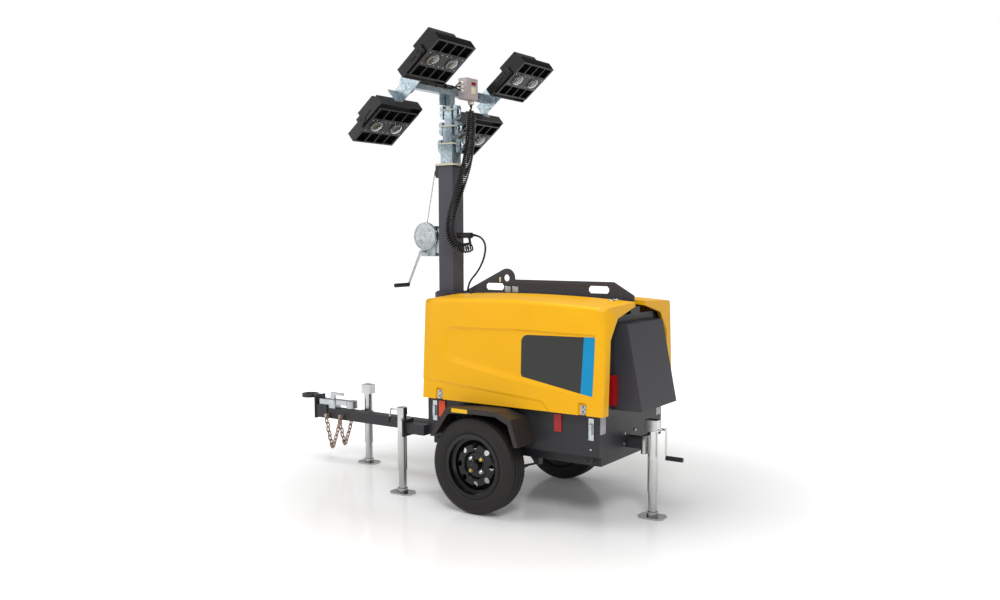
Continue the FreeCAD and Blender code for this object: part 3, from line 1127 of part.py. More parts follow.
def sweep_path(points, radius, bend=0.45):
    """Round tube along a route of straight runs and tangent arcs; prints its arc radii."""
    spots = [Vector(*point) for point in points]
    edges = []
    start = spots[0]
    radii = []
    for index in range(1, len(spots) - 1):
        before, here, after = spots[index - 1], spots[index], spots[index + 1]
        way_in = (here - before).normalize()
        way_out = (after - here).normalize()
        turn = way_in.getAngle(way_out)
        run = min(before.distanceToPoint(here), here.distanceToPoint(after))
        tangent = bend * run
        radii.append(tangent / math.tan(turn / 2))
        first = here - way_in * tangent
        last = here + way_out * tangent
        inward = ((first + last) * 0.5 - here).normalize()
        centre_gap = math.hypot(tangent, radii[-1]) - radii[-1]
        edges.append(Part.LineSegment(start, first).toShape())
        edges.append(Part.Arc(first, here + inward * centre_gap, last).toShape())
        start = last
    edges.append(Part.LineSegment(start, spots[-1]).toShape())
    wire = Part.Wire(edges)
    way = (spots[1] - spots[0]).normalize()
    section = Part.Wire(Part.makeCircle(radius, spots[0], way))
    tube = wire.makePipeShell([section], True, False, 2)
    print("route %.0f mm, arc radii %s" % (wire.Length, " ".join("%.0f" % item for item in radii)))
    print("tube volume over section times length %.4f" % (tube.Volume / (math.pi * radius ** 2 * wire.Length)))
    return tube


def shaped(label, shape):
    """Keep a shape that has no feature of its own."""
    thing = doc.addObject("Part::Feature", label.title().replace("_", ""))
    thing.Shape = shape
    return keep(label, thing)


# Winch cable: taut from the drum to the mast head pulley.
drum_side = Vector(value("winch_x"), 0, value("winch_z"))
wheel_side = Vector(value("pulley_x"), 0, value("pulley_z"))
line = wheel_side - drum_side
span = line.Length
lean = math.acos((value("pulley_radius") - value("drum_radius")) / span)
across = Vector(line.z, 0, -line.x).normalize()
along = Vector(line).normalize()
lift_from_drum = across * math.sin(lean) + along * (-math.cos(lean))
radius = value("cable_radius")
low_end = drum_side + lift_from_drum * (value("drum_radius") + radius + value("seat_gap")) + along * 6
high_end = wheel_side + lift_from_drum * (value("pulley_radius") + radius + value("seat_gap")) - along * 4
shaped("winch_cable", Part.makeCylinder(radius, low_end.distanceToPoint(high_end), low_end, high_end - low_end))

# Cable plug on the rear face of the mast.
keep("cable_plug", rod("CablePlug", "x", "mast_x - mast_size / 2 - plug_length", "0", "plug_z", "plug_radius",
                       "plug_length"), "mast_x - mast_size / 2 - plug_length", "0", "plug_z")

# Curly cable: the outer shape of the coil, from the junction box to the plug.
nut_x = value("mast_x - bar_size / 2 - box_depth / 2")
nut_y = value("box_y - 30")
CURL = [
    (nut_x, nut_y, value("box_low_z") - 26.2),
    (nut_x, nut_y, 2250),
    (nut_x - 30, nut_y + 60, 2100),
    (420, 10, 1960),
    (436, 76, 1800),
    (462, 118, 1650),
    (455, 122, 1530),
    (405, 84, 1470),
    (372, 18, 1490),
]
shaped("curly_cable", sweep_path(CURL, value("curl_radius")))

# Supply cable from the plug down to the gland on the roof spine.
plug_x = value("mast_x - mast_size / 2 - plug_length")
gland_top = value("spine_top_z + gland_height")
SUPPLY = [
    (plug_x - 0.2, 0, value("plug_z")),
    (plug_x - 56, 0, value("plug_z")),
    (plug_x - 112, 10, value("plug_z") - 50),
    (plug_x - 110, 18, value("plug_z") - 130),
    (plug_x - 66, 24, value("plug_z") - 220),
    (value("gland_x"), value("gland_y"), gland_top + 70),
    (value("gland_x"), value("gland_y"), gland_top + 0.2),
]
shaped("supply_cable", sweep_path(SUPPLY, value("lead_radius")))
keep("roof_gland", rod("RoofGland", "z", "gland_x", "gland_y", "spine_top_z", "gland_radius", "gland_height"),
     "gland_x", "gland_y", "spine_top_z")

# Jack arms and jacks: outer tube, swivel plate and cap, with a sliding leg on a foot plate.
arms = []
for label, side in SIDES:
    low = side_low(side, "side_jack_y - arm_size / 2", "arm_size")
    arms.append(box("SideArm_" + label, "tray_front_x", low, "swivel_z - arm_size / 2",
                    "side_jack_x - jack_radius - 2 * swivel_thick - tray_front_x", "arm_size", "arm_size"))
    arms[-1] = fuse("SideArmPlate_" + label, arms[-1],
                    box("ArmPlate_" + label, "side_jack_x - jack_radius - 2 * swivel_thick",
                        side_low(side, "side_jack_y - swivel_width / 2", "swivel_width"),
                        "swivel_z - swivel_height / 2", "swivel_thick", "swivel_width", "swivel_height"))
arms.append(fuse("RearArmPlate",
                 box("RearArm", "rear_jack_x + jack_radius + 2 * swivel_thick", "rear_jack_y - arm_size / 2",
                     "swivel_z - arm_size / 2 + 3", "tray_rear_x - rear_jack_x - jack_radius - 2 * swivel_thick",
                     "arm_size", "arm_size"),
                 box("RearPlate", "rear_jack_x + jack_radius + swivel_thick", "rear_jack_y - swivel_width / 2",
                     "swivel_z - swivel_height / 2", "swivel_thick", "swivel_width", "swivel_height")))
keep("jack_arms", fuse("JackArms", *arms))

JACKS = [
    # label, x, y, plate side along X, gear head
    ("left", "side_jack_x", "side_jack_y", -1, False),
    ("right", "side_jack_x", "-side_jack_y", -1, False),
    ("rear", "rear_jack_x", "rear_jack_y", 1, True),
    ("drawbar", "bar_jack_x", "bar_jack_y", 0, True),
]
bodies = []
for label, x, y, way, geared in JACKS:
    name = "Jack_" + label
    parts = [rod(name + "Tube", "z", x, y, "jack_low_z", "jack_radius", "jack_top_z - jack_low_z")]
    if geared:
        parts.append(box(name + "Gear", f"{x} - gear_length / 2", f"{y} - gear_width / 2", "jack_top_z - 1",
                         "gear_length", "gear_width", "gear_height + 1"))
    else:
        parts.append(rod(name + "Cap", "z", x, y, "jack_top_z - 1", "jack_radius + 4", "jack_cap_z - jack_top_z + 1"))
    if way:
        near = f"{x} + jack_radius - 6" if way > 0 else f"{x} - jack_radius - swivel_thick"
        parts.append(box(name + "Plate", near, f"{y} - swivel_width / 2", "swivel_z - swivel_height / 2",
                         "swivel_thick + 6", "swivel_width", "swivel_height"))
    else:
        parts.append(box(name + "Clamp", f"{x} - swivel_width / 2", y, f"{bar_top} - drawbar_size + 4", "swivel_width",
                         f"-drawbar_size / 2 - ({y})", "drawbar_size - 8"))
    solid = fuse(name + "Solid", *parts)
    bore = rod(name + "Bore", "z", x, y, "jack_low_z - 1", "leg_radius + seat_gap", "jack_top_z - jack_low_z - 4")
    bodies.append(cut(name, solid, bore))

    leg = doc.addObject("PartDesign::Body", "Leg_" + label)
    plate = sketch_on(leg, "Foot_" + label, "XY_Plane")
    far, near = "foot_length / 2", "foot_width / 2"
    polygon(plate, [(f"-{far}", f"foot_cut - {near}"), (f"foot_cut - {far}", f"-{near}"),
                    (f"{far} - foot_cut", f"-{near}"), (far, f"foot_cut - {near}"),
                    (far, f"{near} - foot_cut"), (f"{far} - foot_cut", near),
                    (f"foot_cut - {far}", near), (f"-{far}", f"{near} - foot_cut")])
    pad(leg, plate, "foot_thick")
    socket = sketch_on(leg, "Socket_" + label, "XY_Plane")
    circle(socket, "0", "0", "socket_radius")
    pad(leg, socket, "foot_thick + socket_height")
    tube = sketch_on(leg, "LegTube_" + label, "XY_Plane")
    circle(tube, "0", "0", "leg_radius")
    pad(leg, tube, "foot_thick + leg_length")
    keep("jack_leg_" + label, leg, x, y, "0")
# Crank of the rear jack.
middle = "(jack_top_z + 12)"
start = "(rear_jack_x - gear_length / 2 - jack_shaft)"
bodies.append(fuse(
    "JackCrank",
    rod("JackShaft", "x", start, "rear_jack_y", middle, "7", "jack_shaft + 1"),
    box("JackArm", start, "rear_jack_y - 9", f"{middle} - jack_arm", "6", "18", "jack_arm + 9"),
    rod("JackGrip", "x", f"{start} - jack_grip", "rear_jack_y", f"{middle} - jack_arm + 12", "grip_radius",
        "jack_grip + 1")))
keep("jack_tubes", fuse("JackTubes", *bodies))

# Tie-down rings under the tray's edges.
rings = []
for label, side in SIDES:
    for end in ("front", "rear"):
        name = f"Ring_{end}_{label}"
        y = f"{side} * (tray_half - 20)"
        low = "(tray_bottom_z - ring_drop)"
        half = doc.addObject("Part::Torus", name + "Bow")
        half.Placement = FreeCAD.Placement(Vector(), FreeCAD.Rotation(Vector(1, 0, 0), 90))
        half.Angle3 = 180
        bind(half, Radius1="ring_radius", Radius2="ring_bar")
        half.Placement = FreeCAD.Placement(Vector(), FreeCAD.Rotation(Vector(1, 0, 0), -90))
        place(half, f"ring_{end}_x", y, low)
        legs = [rod(f"{name}Leg{sign}", "z", f"ring_{end}_x + {sign} * ring_radius", y, low, "ring_bar", "ring_drop")
                for sign in (1, -1)]
        rings.append(fuse(name, half, *legs))
keep("tie_down_rings", fuse("TieDownRings", *rings))

# Safety chains: flat-sided links along a hanging loop each side of the drawbar.


def chain_route(side):
    """Points of one hanging chain, between two bolts on the drawbar's side."""
    top = value(bar_top)
    near = value("drawbar_size / 2 + cheek_wall + link_width / 2") + 4
    return [
        Vector(1588, side * near, top - 40),
        Vector(1566, side * near, top - 150),
        Vector(1531, side * near, top - 264),
        Vector(1486, side * near, top - 150),
        Vector(1452, side * near, top - 34),
    ]


def chain_link(centre, way, turn):
    """Oval link of square bar, long axis along way."""
    length = value("link_length")
    width = value("link_width")
    bar = value("link_bar")
    flat = (length - width) / 2

    def oval(radius):
        edges = [
            Part.LineSegment(Vector(-flat, radius, 0), Vector(flat, radius, 0)).toShape(),
            Part.Arc(Vector(flat, radius, 0), Vector(flat + radius, 0, 0), Vector(flat, -radius, 0)).toShape(),
            Part.LineSegment(Vector(flat, -radius, 0), Vector(-flat, -radius, 0)).toShape(),
            Part.Arc(Vector(-flat, -radius, 0), Vector(-flat - radius, 0, 0), Vector(-flat, radius, 0)).toShape(),
        ]
        return Part.Face(Part.Wire(edges))
    face = oval(width / 2).cut(oval(width / 2 - bar))
    link = face.extrude(Vector(0, 0, bar))
    link.translate(Vector(0, 0, -bar / 2))
    spin = FreeCAD.Rotation(Vector(1, 0, 0), turn)
    aim = FreeCAD.Rotation(Vector(1, 0, 0), way)
    link.Placement = FreeCAD.Placement(centre, aim.multiply(spin))
    return link


links = []
for label, side in SIDES:
    wire = Part.makePolygon(chain_route(side))
    pitch = value("link_length - 2 * link_bar") - 1
    count = int(wire.Length / pitch)
    spots = wire.discretize(Number=count + 1)
    for number in range(count):
        centre = (spots[number] + spots[number + 1]) * 0.5
        way = (spots[number + 1] - spots[number]).normalize()
        links.append(chain_link(centre, way, 0 if number % 2 else 90))
        if number in (0, count - 1):
            hold = way * (-1 if number == 0 else 1)
            bolt = value("link_width / 2 - link_bar - seat_gap")
            pin = centre + hold * value("link_length / 2 - link_bar - seat_gap") - hold * bolt
            pin.y = side * value("drawbar_size / 2")
            reach = abs(centre.y - pin.y) + value("link_bar / 2") + 1
            links.append(Part.makeCylinder(bolt, reach, pin, Vector(0, side, 0)))
            head = pin + Vector(0, side * reach, 0)
            links[-1] = links[-1].fuse(Part.makeCylinder(bolt + 5, 5, head, Vector(0, side, 0)))
shaped("safety_chains", Part.makeCompound(links))

doc.recompute()
faults = [thing.Name for thing in doc.Objects if {"Invalid", "Error"} & set(thing.State)]
if faults:
    raise RuntimeError("failed objects: " + ", ".join(faults))
for label, thing in NODES.items():
    if thing.Shape.isNull() or not thing.Shape.isValid() or not thing.Shape.Solids:
        raise RuntimeError("bad shape: " + label)

os.makedirs("parts", exist_ok=True)
for label, thing in NODES.items():
    thing.Shape.exportStep(f"parts/{label}.step")
print(len(NODES), "nodes")
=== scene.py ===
import bmesh
import bpy
import math
from mathutils import Matrix, Vector


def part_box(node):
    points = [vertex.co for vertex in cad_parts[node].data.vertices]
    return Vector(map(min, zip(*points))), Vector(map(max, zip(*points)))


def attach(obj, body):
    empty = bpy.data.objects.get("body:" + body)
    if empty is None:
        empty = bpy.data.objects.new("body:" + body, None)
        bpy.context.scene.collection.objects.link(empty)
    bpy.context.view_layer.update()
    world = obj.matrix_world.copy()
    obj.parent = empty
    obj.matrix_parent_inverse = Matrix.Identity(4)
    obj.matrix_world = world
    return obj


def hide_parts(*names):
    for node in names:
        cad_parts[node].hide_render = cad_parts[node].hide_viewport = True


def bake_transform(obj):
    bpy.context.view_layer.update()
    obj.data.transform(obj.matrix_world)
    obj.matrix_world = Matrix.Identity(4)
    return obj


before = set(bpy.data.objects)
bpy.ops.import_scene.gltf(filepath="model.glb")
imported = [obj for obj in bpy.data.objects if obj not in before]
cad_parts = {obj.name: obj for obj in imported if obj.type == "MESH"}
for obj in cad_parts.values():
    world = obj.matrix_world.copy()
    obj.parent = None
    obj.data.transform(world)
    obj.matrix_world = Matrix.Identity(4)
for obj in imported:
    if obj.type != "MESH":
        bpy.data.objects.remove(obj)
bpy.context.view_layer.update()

MM = 0.001
axle_low, axle_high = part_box("axle")
ground = Vector((axle_low[0] + (axle_high[0] - axle_low[0]) * 0.5, 0, 0))


def spot(x, y, z):
    """Point given in millimetres from the ground under the axle."""
    return ground + Vector((x, y, z)) * MM


camera_data = bpy.data.cameras.new("camera")
camera_data.lens = 34.47
camera_data.sensor_width = 36
camera_data.clip_end = 100
camera = bpy.data.objects.new("camera", camera_data)
bpy.context.scene.collection.objects.link(camera)
turn, nod, roll = math.radians(-55.9), math.radians(-3.8), math.radians(-0.2)
ahead = Vector((math.cos(turn) * math.cos(nod), math.sin(turn) * math.cos(nod), math.sin(nod)))
right = Vector((math.sin(turn), -math.cos(turn), 0))
above = right.cross(ahead)
across = right * math.cos(roll) + above * math.sin(roll)
upward = above * math.cos(roll) - right * math.sin(roll)
eye = ground + Vector((-3.0845, 4.812, 1.5534))
camera.matrix_world = Matrix.Translation(eye) @ Matrix((across, upward, -ahead)).transposed().to_4x4()
bpy.context.scene.camera = camera
bpy.context.scene.view_settings.view_transform = "Standard"


def linear(code):
    """Linear colour, with alpha, of an sRGB hex code."""
    parts = [int(code[i:i + 2], 16) / 255 for i in (1, 3, 5)]
    bent = [part / 12.92 if part <= 0.04045 else ((part + 0.055) / 1.055) ** 2.4 for part in parts]
    return bent + [1]


def put(material, kind, inputs=None, **settings):
    """Add a node with its settings; each input is a constant or a link from another node's socket."""
    tree = material.node_tree
    made = tree.nodes.new(kind)
    for name, value in settings.items():
        setattr(made, name, value)
    for name, value in (inputs or {}).items():
        if isinstance(value, bpy.types.NodeSocket):
            tree.links.new(value, made.inputs[name])
        else:
            made.inputs[name].default_value = value
    return made


def new_material(name):
    """Empty material with nodes, and its output node."""
    material = bpy.data.materials.new(name)
    material.use_nodes = True
    material.node_tree.nodes.clear()
    return material, put(material, "ShaderNodeOutputMaterial")


def surface(material, out, shader):
    """Send a shader to the material's surface."""
    material.node_tree.links.new(shader.outputs[0], out.inputs["Surface"])
    return material


def mesh_piece(name, points, faces, smooth=True):
    """Linked mesh object from points in metres and faces."""
    mesh = bpy.data.meshes.new(name)
    mesh.from_pydata([tuple(point) for point in points], [], faces)
    mesh.validate()
    for face in mesh.polygons:
        face.use_smooth = smooth
    piece = bpy.data.objects.new(name, mesh)
    bpy.context.scene.collection.objects.link(piece)
    return piece


# Paper scatters the light and has a faint sheen, so the tyres are mirrored softly. The sheet gives off light to
# the camera, to reflections and through glass, but not on the object: little near the axle and more from one
# metre out to 3.2 metres, where it turns white. So the floor round the object is painted shade: it is darker
# there than the open floor further out, on top of the object's real shadow.
paper, paper_out = new_material("matt white backdrop paper")
place = put(paper, "ShaderNodeTexCoord")
far = put(paper, "ShaderNodeVectorMath", {0: place.outputs["Object"], 1: ground}, operation="DISTANCE")
# Painted shade: the glow is weakest near the axle, so the floor round the object is darker.
fade = put(paper, "ShaderNodeMapRange", {
    "Value": far.outputs["Value"], "From Min": 1.0, "From Max": 3.2, "To Min": 0.04, "To Max": 0.75},
           interpolation_type="SMOOTHSTEP")
sheet = put(paper, "ShaderNodeBsdfPrincipled", {
    "Base Color": linear("#FAFAFA"), "Roughness": 0.16, "Specular IOR Level": 0.45})
glow = put(paper, "ShaderNodeEmission", {"Color": linear("#FFFFFF"), "Strength": fade.outputs[0]})
seen = put(paper, "ShaderNodeLightPath")
lift = put(paper, "ShaderNodeMath", {0: seen.outputs["Is Camera Ray"], 1: seen.outputs["Is Glossy Ray"]},
           operation="MAXIMUM")
through = put(paper, "ShaderNodeMath", {0: lift.outputs[0], 1: seen.outputs["Is Transmission Ray"]},
              operation="MAXIMUM")
dark = put(paper, "ShaderNodeEmission", {"Color": linear("#000000"), "Strength": 0.0})
added = put(paper, "ShaderNodeMixShader", {0: through.outputs[0], 1: dark.outputs[0], 2: glow.outputs[0]})
surface(paper, paper_out, put(paper, "ShaderNodeAddShader", {0: sheet.outputs[0], 1: added.outputs[0]}))

FLOOR = 40
floor = mesh_piece("floor", [(x * FLOOR, y * FLOOR, 0) for x, y in ((-1, -1), (1, -1), (1, 1), (-1, 1))],
                   [(0, 1, 2, 3)])
floor.data.materials.append(paper)

world = bpy.data.worlds.new("studio")
bpy.context.scene.world = world
world.use_nodes = True
world.node_tree.nodes.clear()
world_out = put(world, "ShaderNodeOutputWorld")
sky = put(world, "ShaderNodeBackground", {"Color": linear("#FFFFFF"), "Strength": 0.42})
clear = put(world, "ShaderNodeBackground", {"Color": linear("#FFFFFF"), "Strength": 1.0})
path = put(world, "ShaderNodeLightPath")
direct = put(world, "ShaderNodeMath", {
    0: path.outputs["Is Camera Ray"], 1: path.outputs["Is Transmission Ray"]}, operation="MAXIMUM")
surface(world, world_out, put(world, "ShaderNodeMixShader", {
    0: direct.outputs[0], 1: sky.outputs[0], 2: clear.outputs[0]}))

AIM = Vector((0, 0, 1))
LIGHTS = [
    # name, place from the ground under the axle and width in metres, power in watts
    ("key light", (-3.5, 4.5, 5.5), 2.2, 225),
    ("top light", (0.5, 0.5, 6.5), 3.0, 165),
    ("front light", (4.5, 3.5, 3.0), 2.5, 60),
]
for name, stand, width, power in LIGHTS:
    light = bpy.data.lights.new(name, "AREA")
    light.size = width
    light.energy = power
    lamp = bpy.data.objects.new(name, light)
    lamp.location = ground + Vector(stand)
    lamp.rotation_euler = (AIM - Vector(stand)).to_track_quat("-Z", "Y").to_euler()
    bpy.context.scene.collection.objects.link(lamp)


# Curly cable from the junction box down the mast to the cable plug.
# A nine-millimetre polyurethane lead, wound hot on a mandrel so that it springs back, hangs in a long bow.
# The extruded sheath is smooth, so it looks half glossy. Both tails run straight into sealed fittings.
def moulded(name, shade, deep, roughness, grain, depth, cloud_mm=300):
    """Moulded plastic: two close tones, and a mould grain whose width and depth are in millimetres."""
    material, out = new_material(name)
    place = put(material, "ShaderNodeTexCoord")
    cloud = put(material, "ShaderNodeTexNoise", {
        "Vector": place.outputs["Object"], "Scale": 1 / (cloud_mm * MM), "Detail": 3.0})
    fine = put(material, "ShaderNodeTexNoise", {
        "Vector": place.outputs["Object"], "Scale": 1 / (grain * MM), "Detail": 3.0})
    tone = put(material, "ShaderNodeMix", {0: cloud.outputs["Fac"], 6: linear(shade), 7: linear(deep)},
               data_type="RGBA")
    rough = put(material, "ShaderNodeMapRange", {
        "Value": fine.outputs["Fac"], "To Min": roughness - 0.05, "To Max": roughness + 0.05})
    bump = put(material, "ShaderNodeBump", {
        "Height": fine.outputs["Fac"], "Strength": 0.15, "Distance": depth * MM})
    plastic = put(material, "ShaderNodeBsdfPrincipled", {
        "Base Color": tone.outputs[2], "Roughness": rough.outputs[0], "Normal": bump.outputs[0], "IOR": 1.5,
        "Specular IOR Level": 0.35})
    return surface(material, out, plastic)


def smooth_curve(name, points, steps):
    """NURBS curve object that has the given points as its control points."""
    curve = bpy.data.curves.new(name, "CURVE")
    curve.dimensions = "3D"
    curve.resolution_u = steps
    spline = curve.splines.new("NURBS")
    spline.points.add(len(points) - 1)
    for point, place in zip(spline.points, points):
        point.co = (*place, 1)
    spline.order_u = 3
    spline.use_endpoint_u = True
    piece = bpy.data.objects.new(name, curve)
    bpy.context.scene.collection.objects.link(piece)
    return piece


def route_line(points):
    """Points read from the smooth curve of a route, which is given in metres from the ground under the axle."""
    holder = smooth_curve("route", [ground + Vector(place) for place in points], 24)
    mesh = bpy.data.meshes.new_from_object(holder)
    line = [vertex.co.copy() for vertex in mesh.vertices]
    bpy.data.objects.remove(holder)
    return line


def even_steps(line, step):
    """Points a fixed distance apart along a line."""
    made = [line[0].copy()]
    left = step
    for first, second in zip(line, line[1:]):
        run = (second - first).length
        done = 0.0
        while run - done >= left:
            done += left
            made.append(first.lerp(second, done / run))
            left = step
        left -= run - done
    made.append(line[-1].copy())
    return made


def frames_along(line):
    """A way and a sideways direction at each point, turned as little as possible."""
    ways = []
    for index in range(len(line)):
        ways.append((line[min(index + 1, len(line) - 1)] - line[max(index - 1, 0)]).normalized())
    side = ways[0].orthogonal().normalized()
    made = []
    for index, way in enumerate(ways):
        if index:
            side = ways[index - 1].rotation_difference(way) @ side
            side = (side - way * side.dot(way)).normalized()
        made.append((way, side))
    return made


def tube_mesh(name, line, radius, ring=8):
    """Round tube along a line, closed at both ends."""
    points = []
    faces = []
    for place, (way, side) in zip(line, frames_along(line)):
        other = way.cross(side)
        for step in range(ring):
            angle = 2 * math.pi * step / ring
            points.append(place + (side * math.cos(angle) + other * math.sin(angle)) * radius)
    for row in range(len(line) - 1):
        for step in range(ring):
            after = (step + 1) % ring
            faces.append((row * ring + step, row * ring + after,
                          (row + 1) * ring + after, (row + 1) * ring + step))
    faces.append(tuple(range(ring))[::-1])
    faces.append(tuple((len(line) - 1) * ring + step for step in range(ring)))
    return mesh_piece(name, points, faces)


CURL = [(0.4835, -0.140, 2.3818), (0.4835, -0.140, 2.250), (0.4535, -0.080, 2.100), (0.420, 0.010, 1.960),
        (0.436, 0.076, 1.800), (0.462, 0.118, 1.650), (0.455, 0.122, 1.530), (0.405, 0.084, 1.470),
        (0.372, 0.018, 1.490)]
CURL_WIRE = 0.0045
CURL_RADIUS = 0.0275
CURL_PITCH = 0.0138
TURN_STEPS = 14
# The straight tail at the box, the run over which the coil opens after it, and the run at the plug over which
# its end narrows to a share of its radius.
TAIL, OPENING, CLOSING, END_SHARE = 0.030, 0.035, 0.012, 0.75
core = even_steps(route_line(CURL), CURL_PITCH / TURN_STEPS)
whole = CURL_PITCH / TURN_STEPS * (len(core) - 1)
coil = []
for index, (place, (way, side)) in enumerate(zip(core, frames_along(core))):
    gone = whole * index / (len(core) - 1)
    grown = min(1, max(0, (gone - TAIL) / OPENING))
    shut = min(1, max(0, (whole - gone) / CLOSING))
    reach = CURL_RADIUS * grown ** 0.6 * (END_SHARE + (1 - END_SHARE) * shut)
    angle = 2 * math.pi * index / TURN_STEPS
    coil.append(place + (side * math.cos(angle) + way.cross(side) * math.sin(angle)) * reach)
# From its last turn the lead bows a little on its way into the plug.
last_turn = coil[-1]
plug_foot = spot(398, 2, 1543)
BOW = Vector((-0.012, 0.006, -0.006))
for share in (0.25, 0.5, 0.75, 1.0):
    coil.append(last_turn.lerp(plug_foot, share) + BOW * math.sin(math.pi * share))
curly = tube_mesh("curly_lead", coil, CURL_WIRE)
sheath = moulded("black polyurethane cable sheath", "#0E0E10", "#17171A", 0.32, 4, 0.1)
curly.data.materials.append(sheath)
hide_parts("curly_cable")
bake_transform(curly)


# Supply cable from the plug down to the gland on the roof.
# A twelve-millimetre lead in the same extruded sheath leaves the plug level, bows out and drops to the gland.
# Both of its ends are clamped in sealed fittings.
SUPPLY = [(0.3818, 0, 1.561), (0.326, 0, 1.561), (0.270, 0.010, 1.511), (0.272, 0.018, 1.431),
          (0.316, 0.024, 1.341), (0.395, 0.030, 1.264), (0.395, 0.030, 1.1942)]
supply_line = even_steps(route_line(SUPPLY), 0.008)
supply = tube_mesh("supply_lead", supply_line, 0.006, 12)
supply.data.materials.append(sheath)
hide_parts("supply_cable")
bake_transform(supply)


# Chassis, drawbar and base tray: welded steel, charcoal powder coat.
# Polyester powder flows into a faint orange peel about 2 mm across and hides the steel. It is drawn 6 mm
# wide, because the render shows nothing finer. Bolts are zinc plated, with pressed washers.
SIDES = (("left", 1), ("right", -1))


def powder_coat(name, shade, dusty, roughness):
    """Powder coat: two close tones in clouds 180 mm across, and an orange-peel bump."""
    material, out = new_material(name)
    place = put(material, "ShaderNodeTexCoord")
    cloud = put(material, "ShaderNodeTexNoise", {
        "Vector": place.outputs["Object"], "Scale": 1 / (180 * MM), "Detail": 4.0, "Roughness": 0.6})
    peel = put(material, "ShaderNodeTexNoise", {
        "Vector": place.outputs["Object"], "Scale": 1 / (6 * MM), "Detail": 2.0})
    tone = put(material, "ShaderNodeMix", {0: cloud.outputs["Fac"], 6: linear(shade), 7: linear(dusty)},
               data_type="RGBA")
    rough = put(material, "ShaderNodeMapRange", {
        "Value": cloud.outputs["Fac"], "To Min": roughness - 0.06, "To Max": roughness + 0.08})
    bump = put(material, "ShaderNodeBump", {
        "Height": peel.outputs["Fac"], "Strength": 0.12, "Distance": 0.4 * MM})
    coat = put(material, "ShaderNodeBsdfPrincipled", {
        "Base Color": tone.outputs[2], "Roughness": rough.outputs[0], "Normal": bump.outputs[0], "IOR": 1.5,
        "Specular IOR Level": 0.35})
    return surface(material, out, coat)


def galvanised(name, bright, dull, spangle, metal=0.85, low=0.28, high=0.5):
    """Bare metal or zinc coat: patches of the given width in millimetres that differ in tone and gloss."""
    material, out = new_material(name)
    place = put(material, "ShaderNodeTexCoord")
    cells = put(material, "ShaderNodeTexVoronoi", {
        "Vector": place.outputs["Object"], "Scale": 1 / (spangle * MM)})
    grey = put(material, "ShaderNodeSeparateColor", {"Color": cells.outputs["Color"]})
    cloud = put(material, "ShaderNodeTexNoise", {
        "Vector": place.outputs["Object"], "Scale": 1 / (90 * MM), "Detail": 5.0})
    mixed = put(material, "ShaderNodeMath", {0: grey.outputs[0], 1: cloud.outputs["Fac"]},
                operation="MULTIPLY")
    tone = put(material, "ShaderNodeMix", {0: mixed.outputs[0], 6: linear(dull), 7: linear(bright)},
               data_type="RGBA")
    rough = put(material, "ShaderNodeMapRange", {"Value": grey.outputs[1], "To Min": low, "To Max": high})
    bump = put(material, "ShaderNodeBump", {
        "Height": cloud.outputs["Fac"], "Strength": 0.15, "Distance": 1 * MM})
    zinc = put(material, "ShaderNodeBsdfPrincipled", {
        "Base Color": tone.outputs[2], "Metallic": metal, "Roughness": rough.outputs[0],
        "Normal": bump.outputs[0]})
    return surface(material, out, zinc)


def finish_node(node, material):
    """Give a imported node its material, smooth where its faces meet gently and sharp at its edges."""
    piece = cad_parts[node]
    piece.data.materials.clear()
    piece.data.materials.append(material)
    for face in piece.data.polygons:
        face.use_smooth = True
    piece.data.set_sharp_from_angle(angle=math.radians(32))


def repaint(node, material, wanted):
    """Second finish on those faces of a node whose middle, in millimetres, and normal are wanted."""
    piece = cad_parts[node]
    piece.data.materials.append(material)
    slot = len(piece.data.materials) - 1
    for face in piece.data.polygons:
        middle = (face.center - ground) / MM
        if wanted(middle.x, middle.y, middle.z, face.normal):
            face.material_index = slot


def touch(node, start, way):
    """Where a line from a point first meets a node or a piece, and the surface's normal there."""
    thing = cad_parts[node] if isinstance(node, str) else node
    met, point, normal, index = thing.ray_cast(start, Vector(way).normalized())
    if not met:
        raise ValueError("no surface of %s on the line from %s" % (node, tuple(start)))
    return point, normal


def turned(build, place, way, profile, ring=20):
    """Add a turned form: profile gives radius and height in millimetres along a way from a place."""
    way = Vector(way).normalized()
    side = way.orthogonal().normalized()
    other = way.cross(side)
    rows = []
    for radius, rise in profile:
        rows.append([build.verts.new(place + (way * rise + (side * math.cos(2 * math.pi * step / ring)
                     + other * math.sin(2 * math.pi * step / ring)) * radius) * MM) for step in range(ring)])
    for low, high in zip(rows, rows[1:]):
        for step in range(ring):
            after = (step + 1) % ring
            build.faces.new((low[step], low[after], high[after], high[step]))
    build.faces.new(rows[0][::-1])
    build.faces.new(rows[-1])


def prism(build, loops):
    """Add a closed form through loops of points with equal counts, capped at both ends."""
    rows = [[build.verts.new(point) for point in loop] for loop in loops]
    count = len(rows[0])
    for low, high in zip(rows, rows[1:]):
        for step in range(count):
            after = (step + 1) % count
            build.faces.new((low[step], low[after], high[after], high[step]))
    build.faces.new(rows[0][::-1])
    build.faces.new(rows[-1])


def made(name, build, material, body, sharp=32):
    """Piece from a bmesh, smooth up to the given angle, riding on a body."""
    bmesh.ops.recalc_face_normals(build, faces=build.faces)
    mesh = bpy.data.meshes.new(name)
    build.to_mesh(mesh)
    build.free()
    mesh.materials.append(material)
    for face in mesh.polygons:
        face.use_smooth = True
    mesh.set_sharp_from_angle(angle=math.radians(sharp))
    piece = bpy.data.objects.new(name, mesh)
    bpy.context.scene.collection.objects.link(piece)
    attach(piece, body)
    return piece


def bolts(name, seats, size, material, body):
    """Hexagon bolts of a thread size in millimetres on washers, each at a seat with its way out."""
    build = bmesh.new()
    for place, way in seats:
        washer = [(size * 1.05, -0.4), (size * 1.05, size * 0.12), (size * 0.98, size * 0.18)]
        turned(build, place, way, washer, 18)
        turned(build, place, way, [(size * 0.9, 0), (size * 0.9, size * 0.62), (size * 0.76, size * 0.78)], 6)
    return made(name, build, material, body)


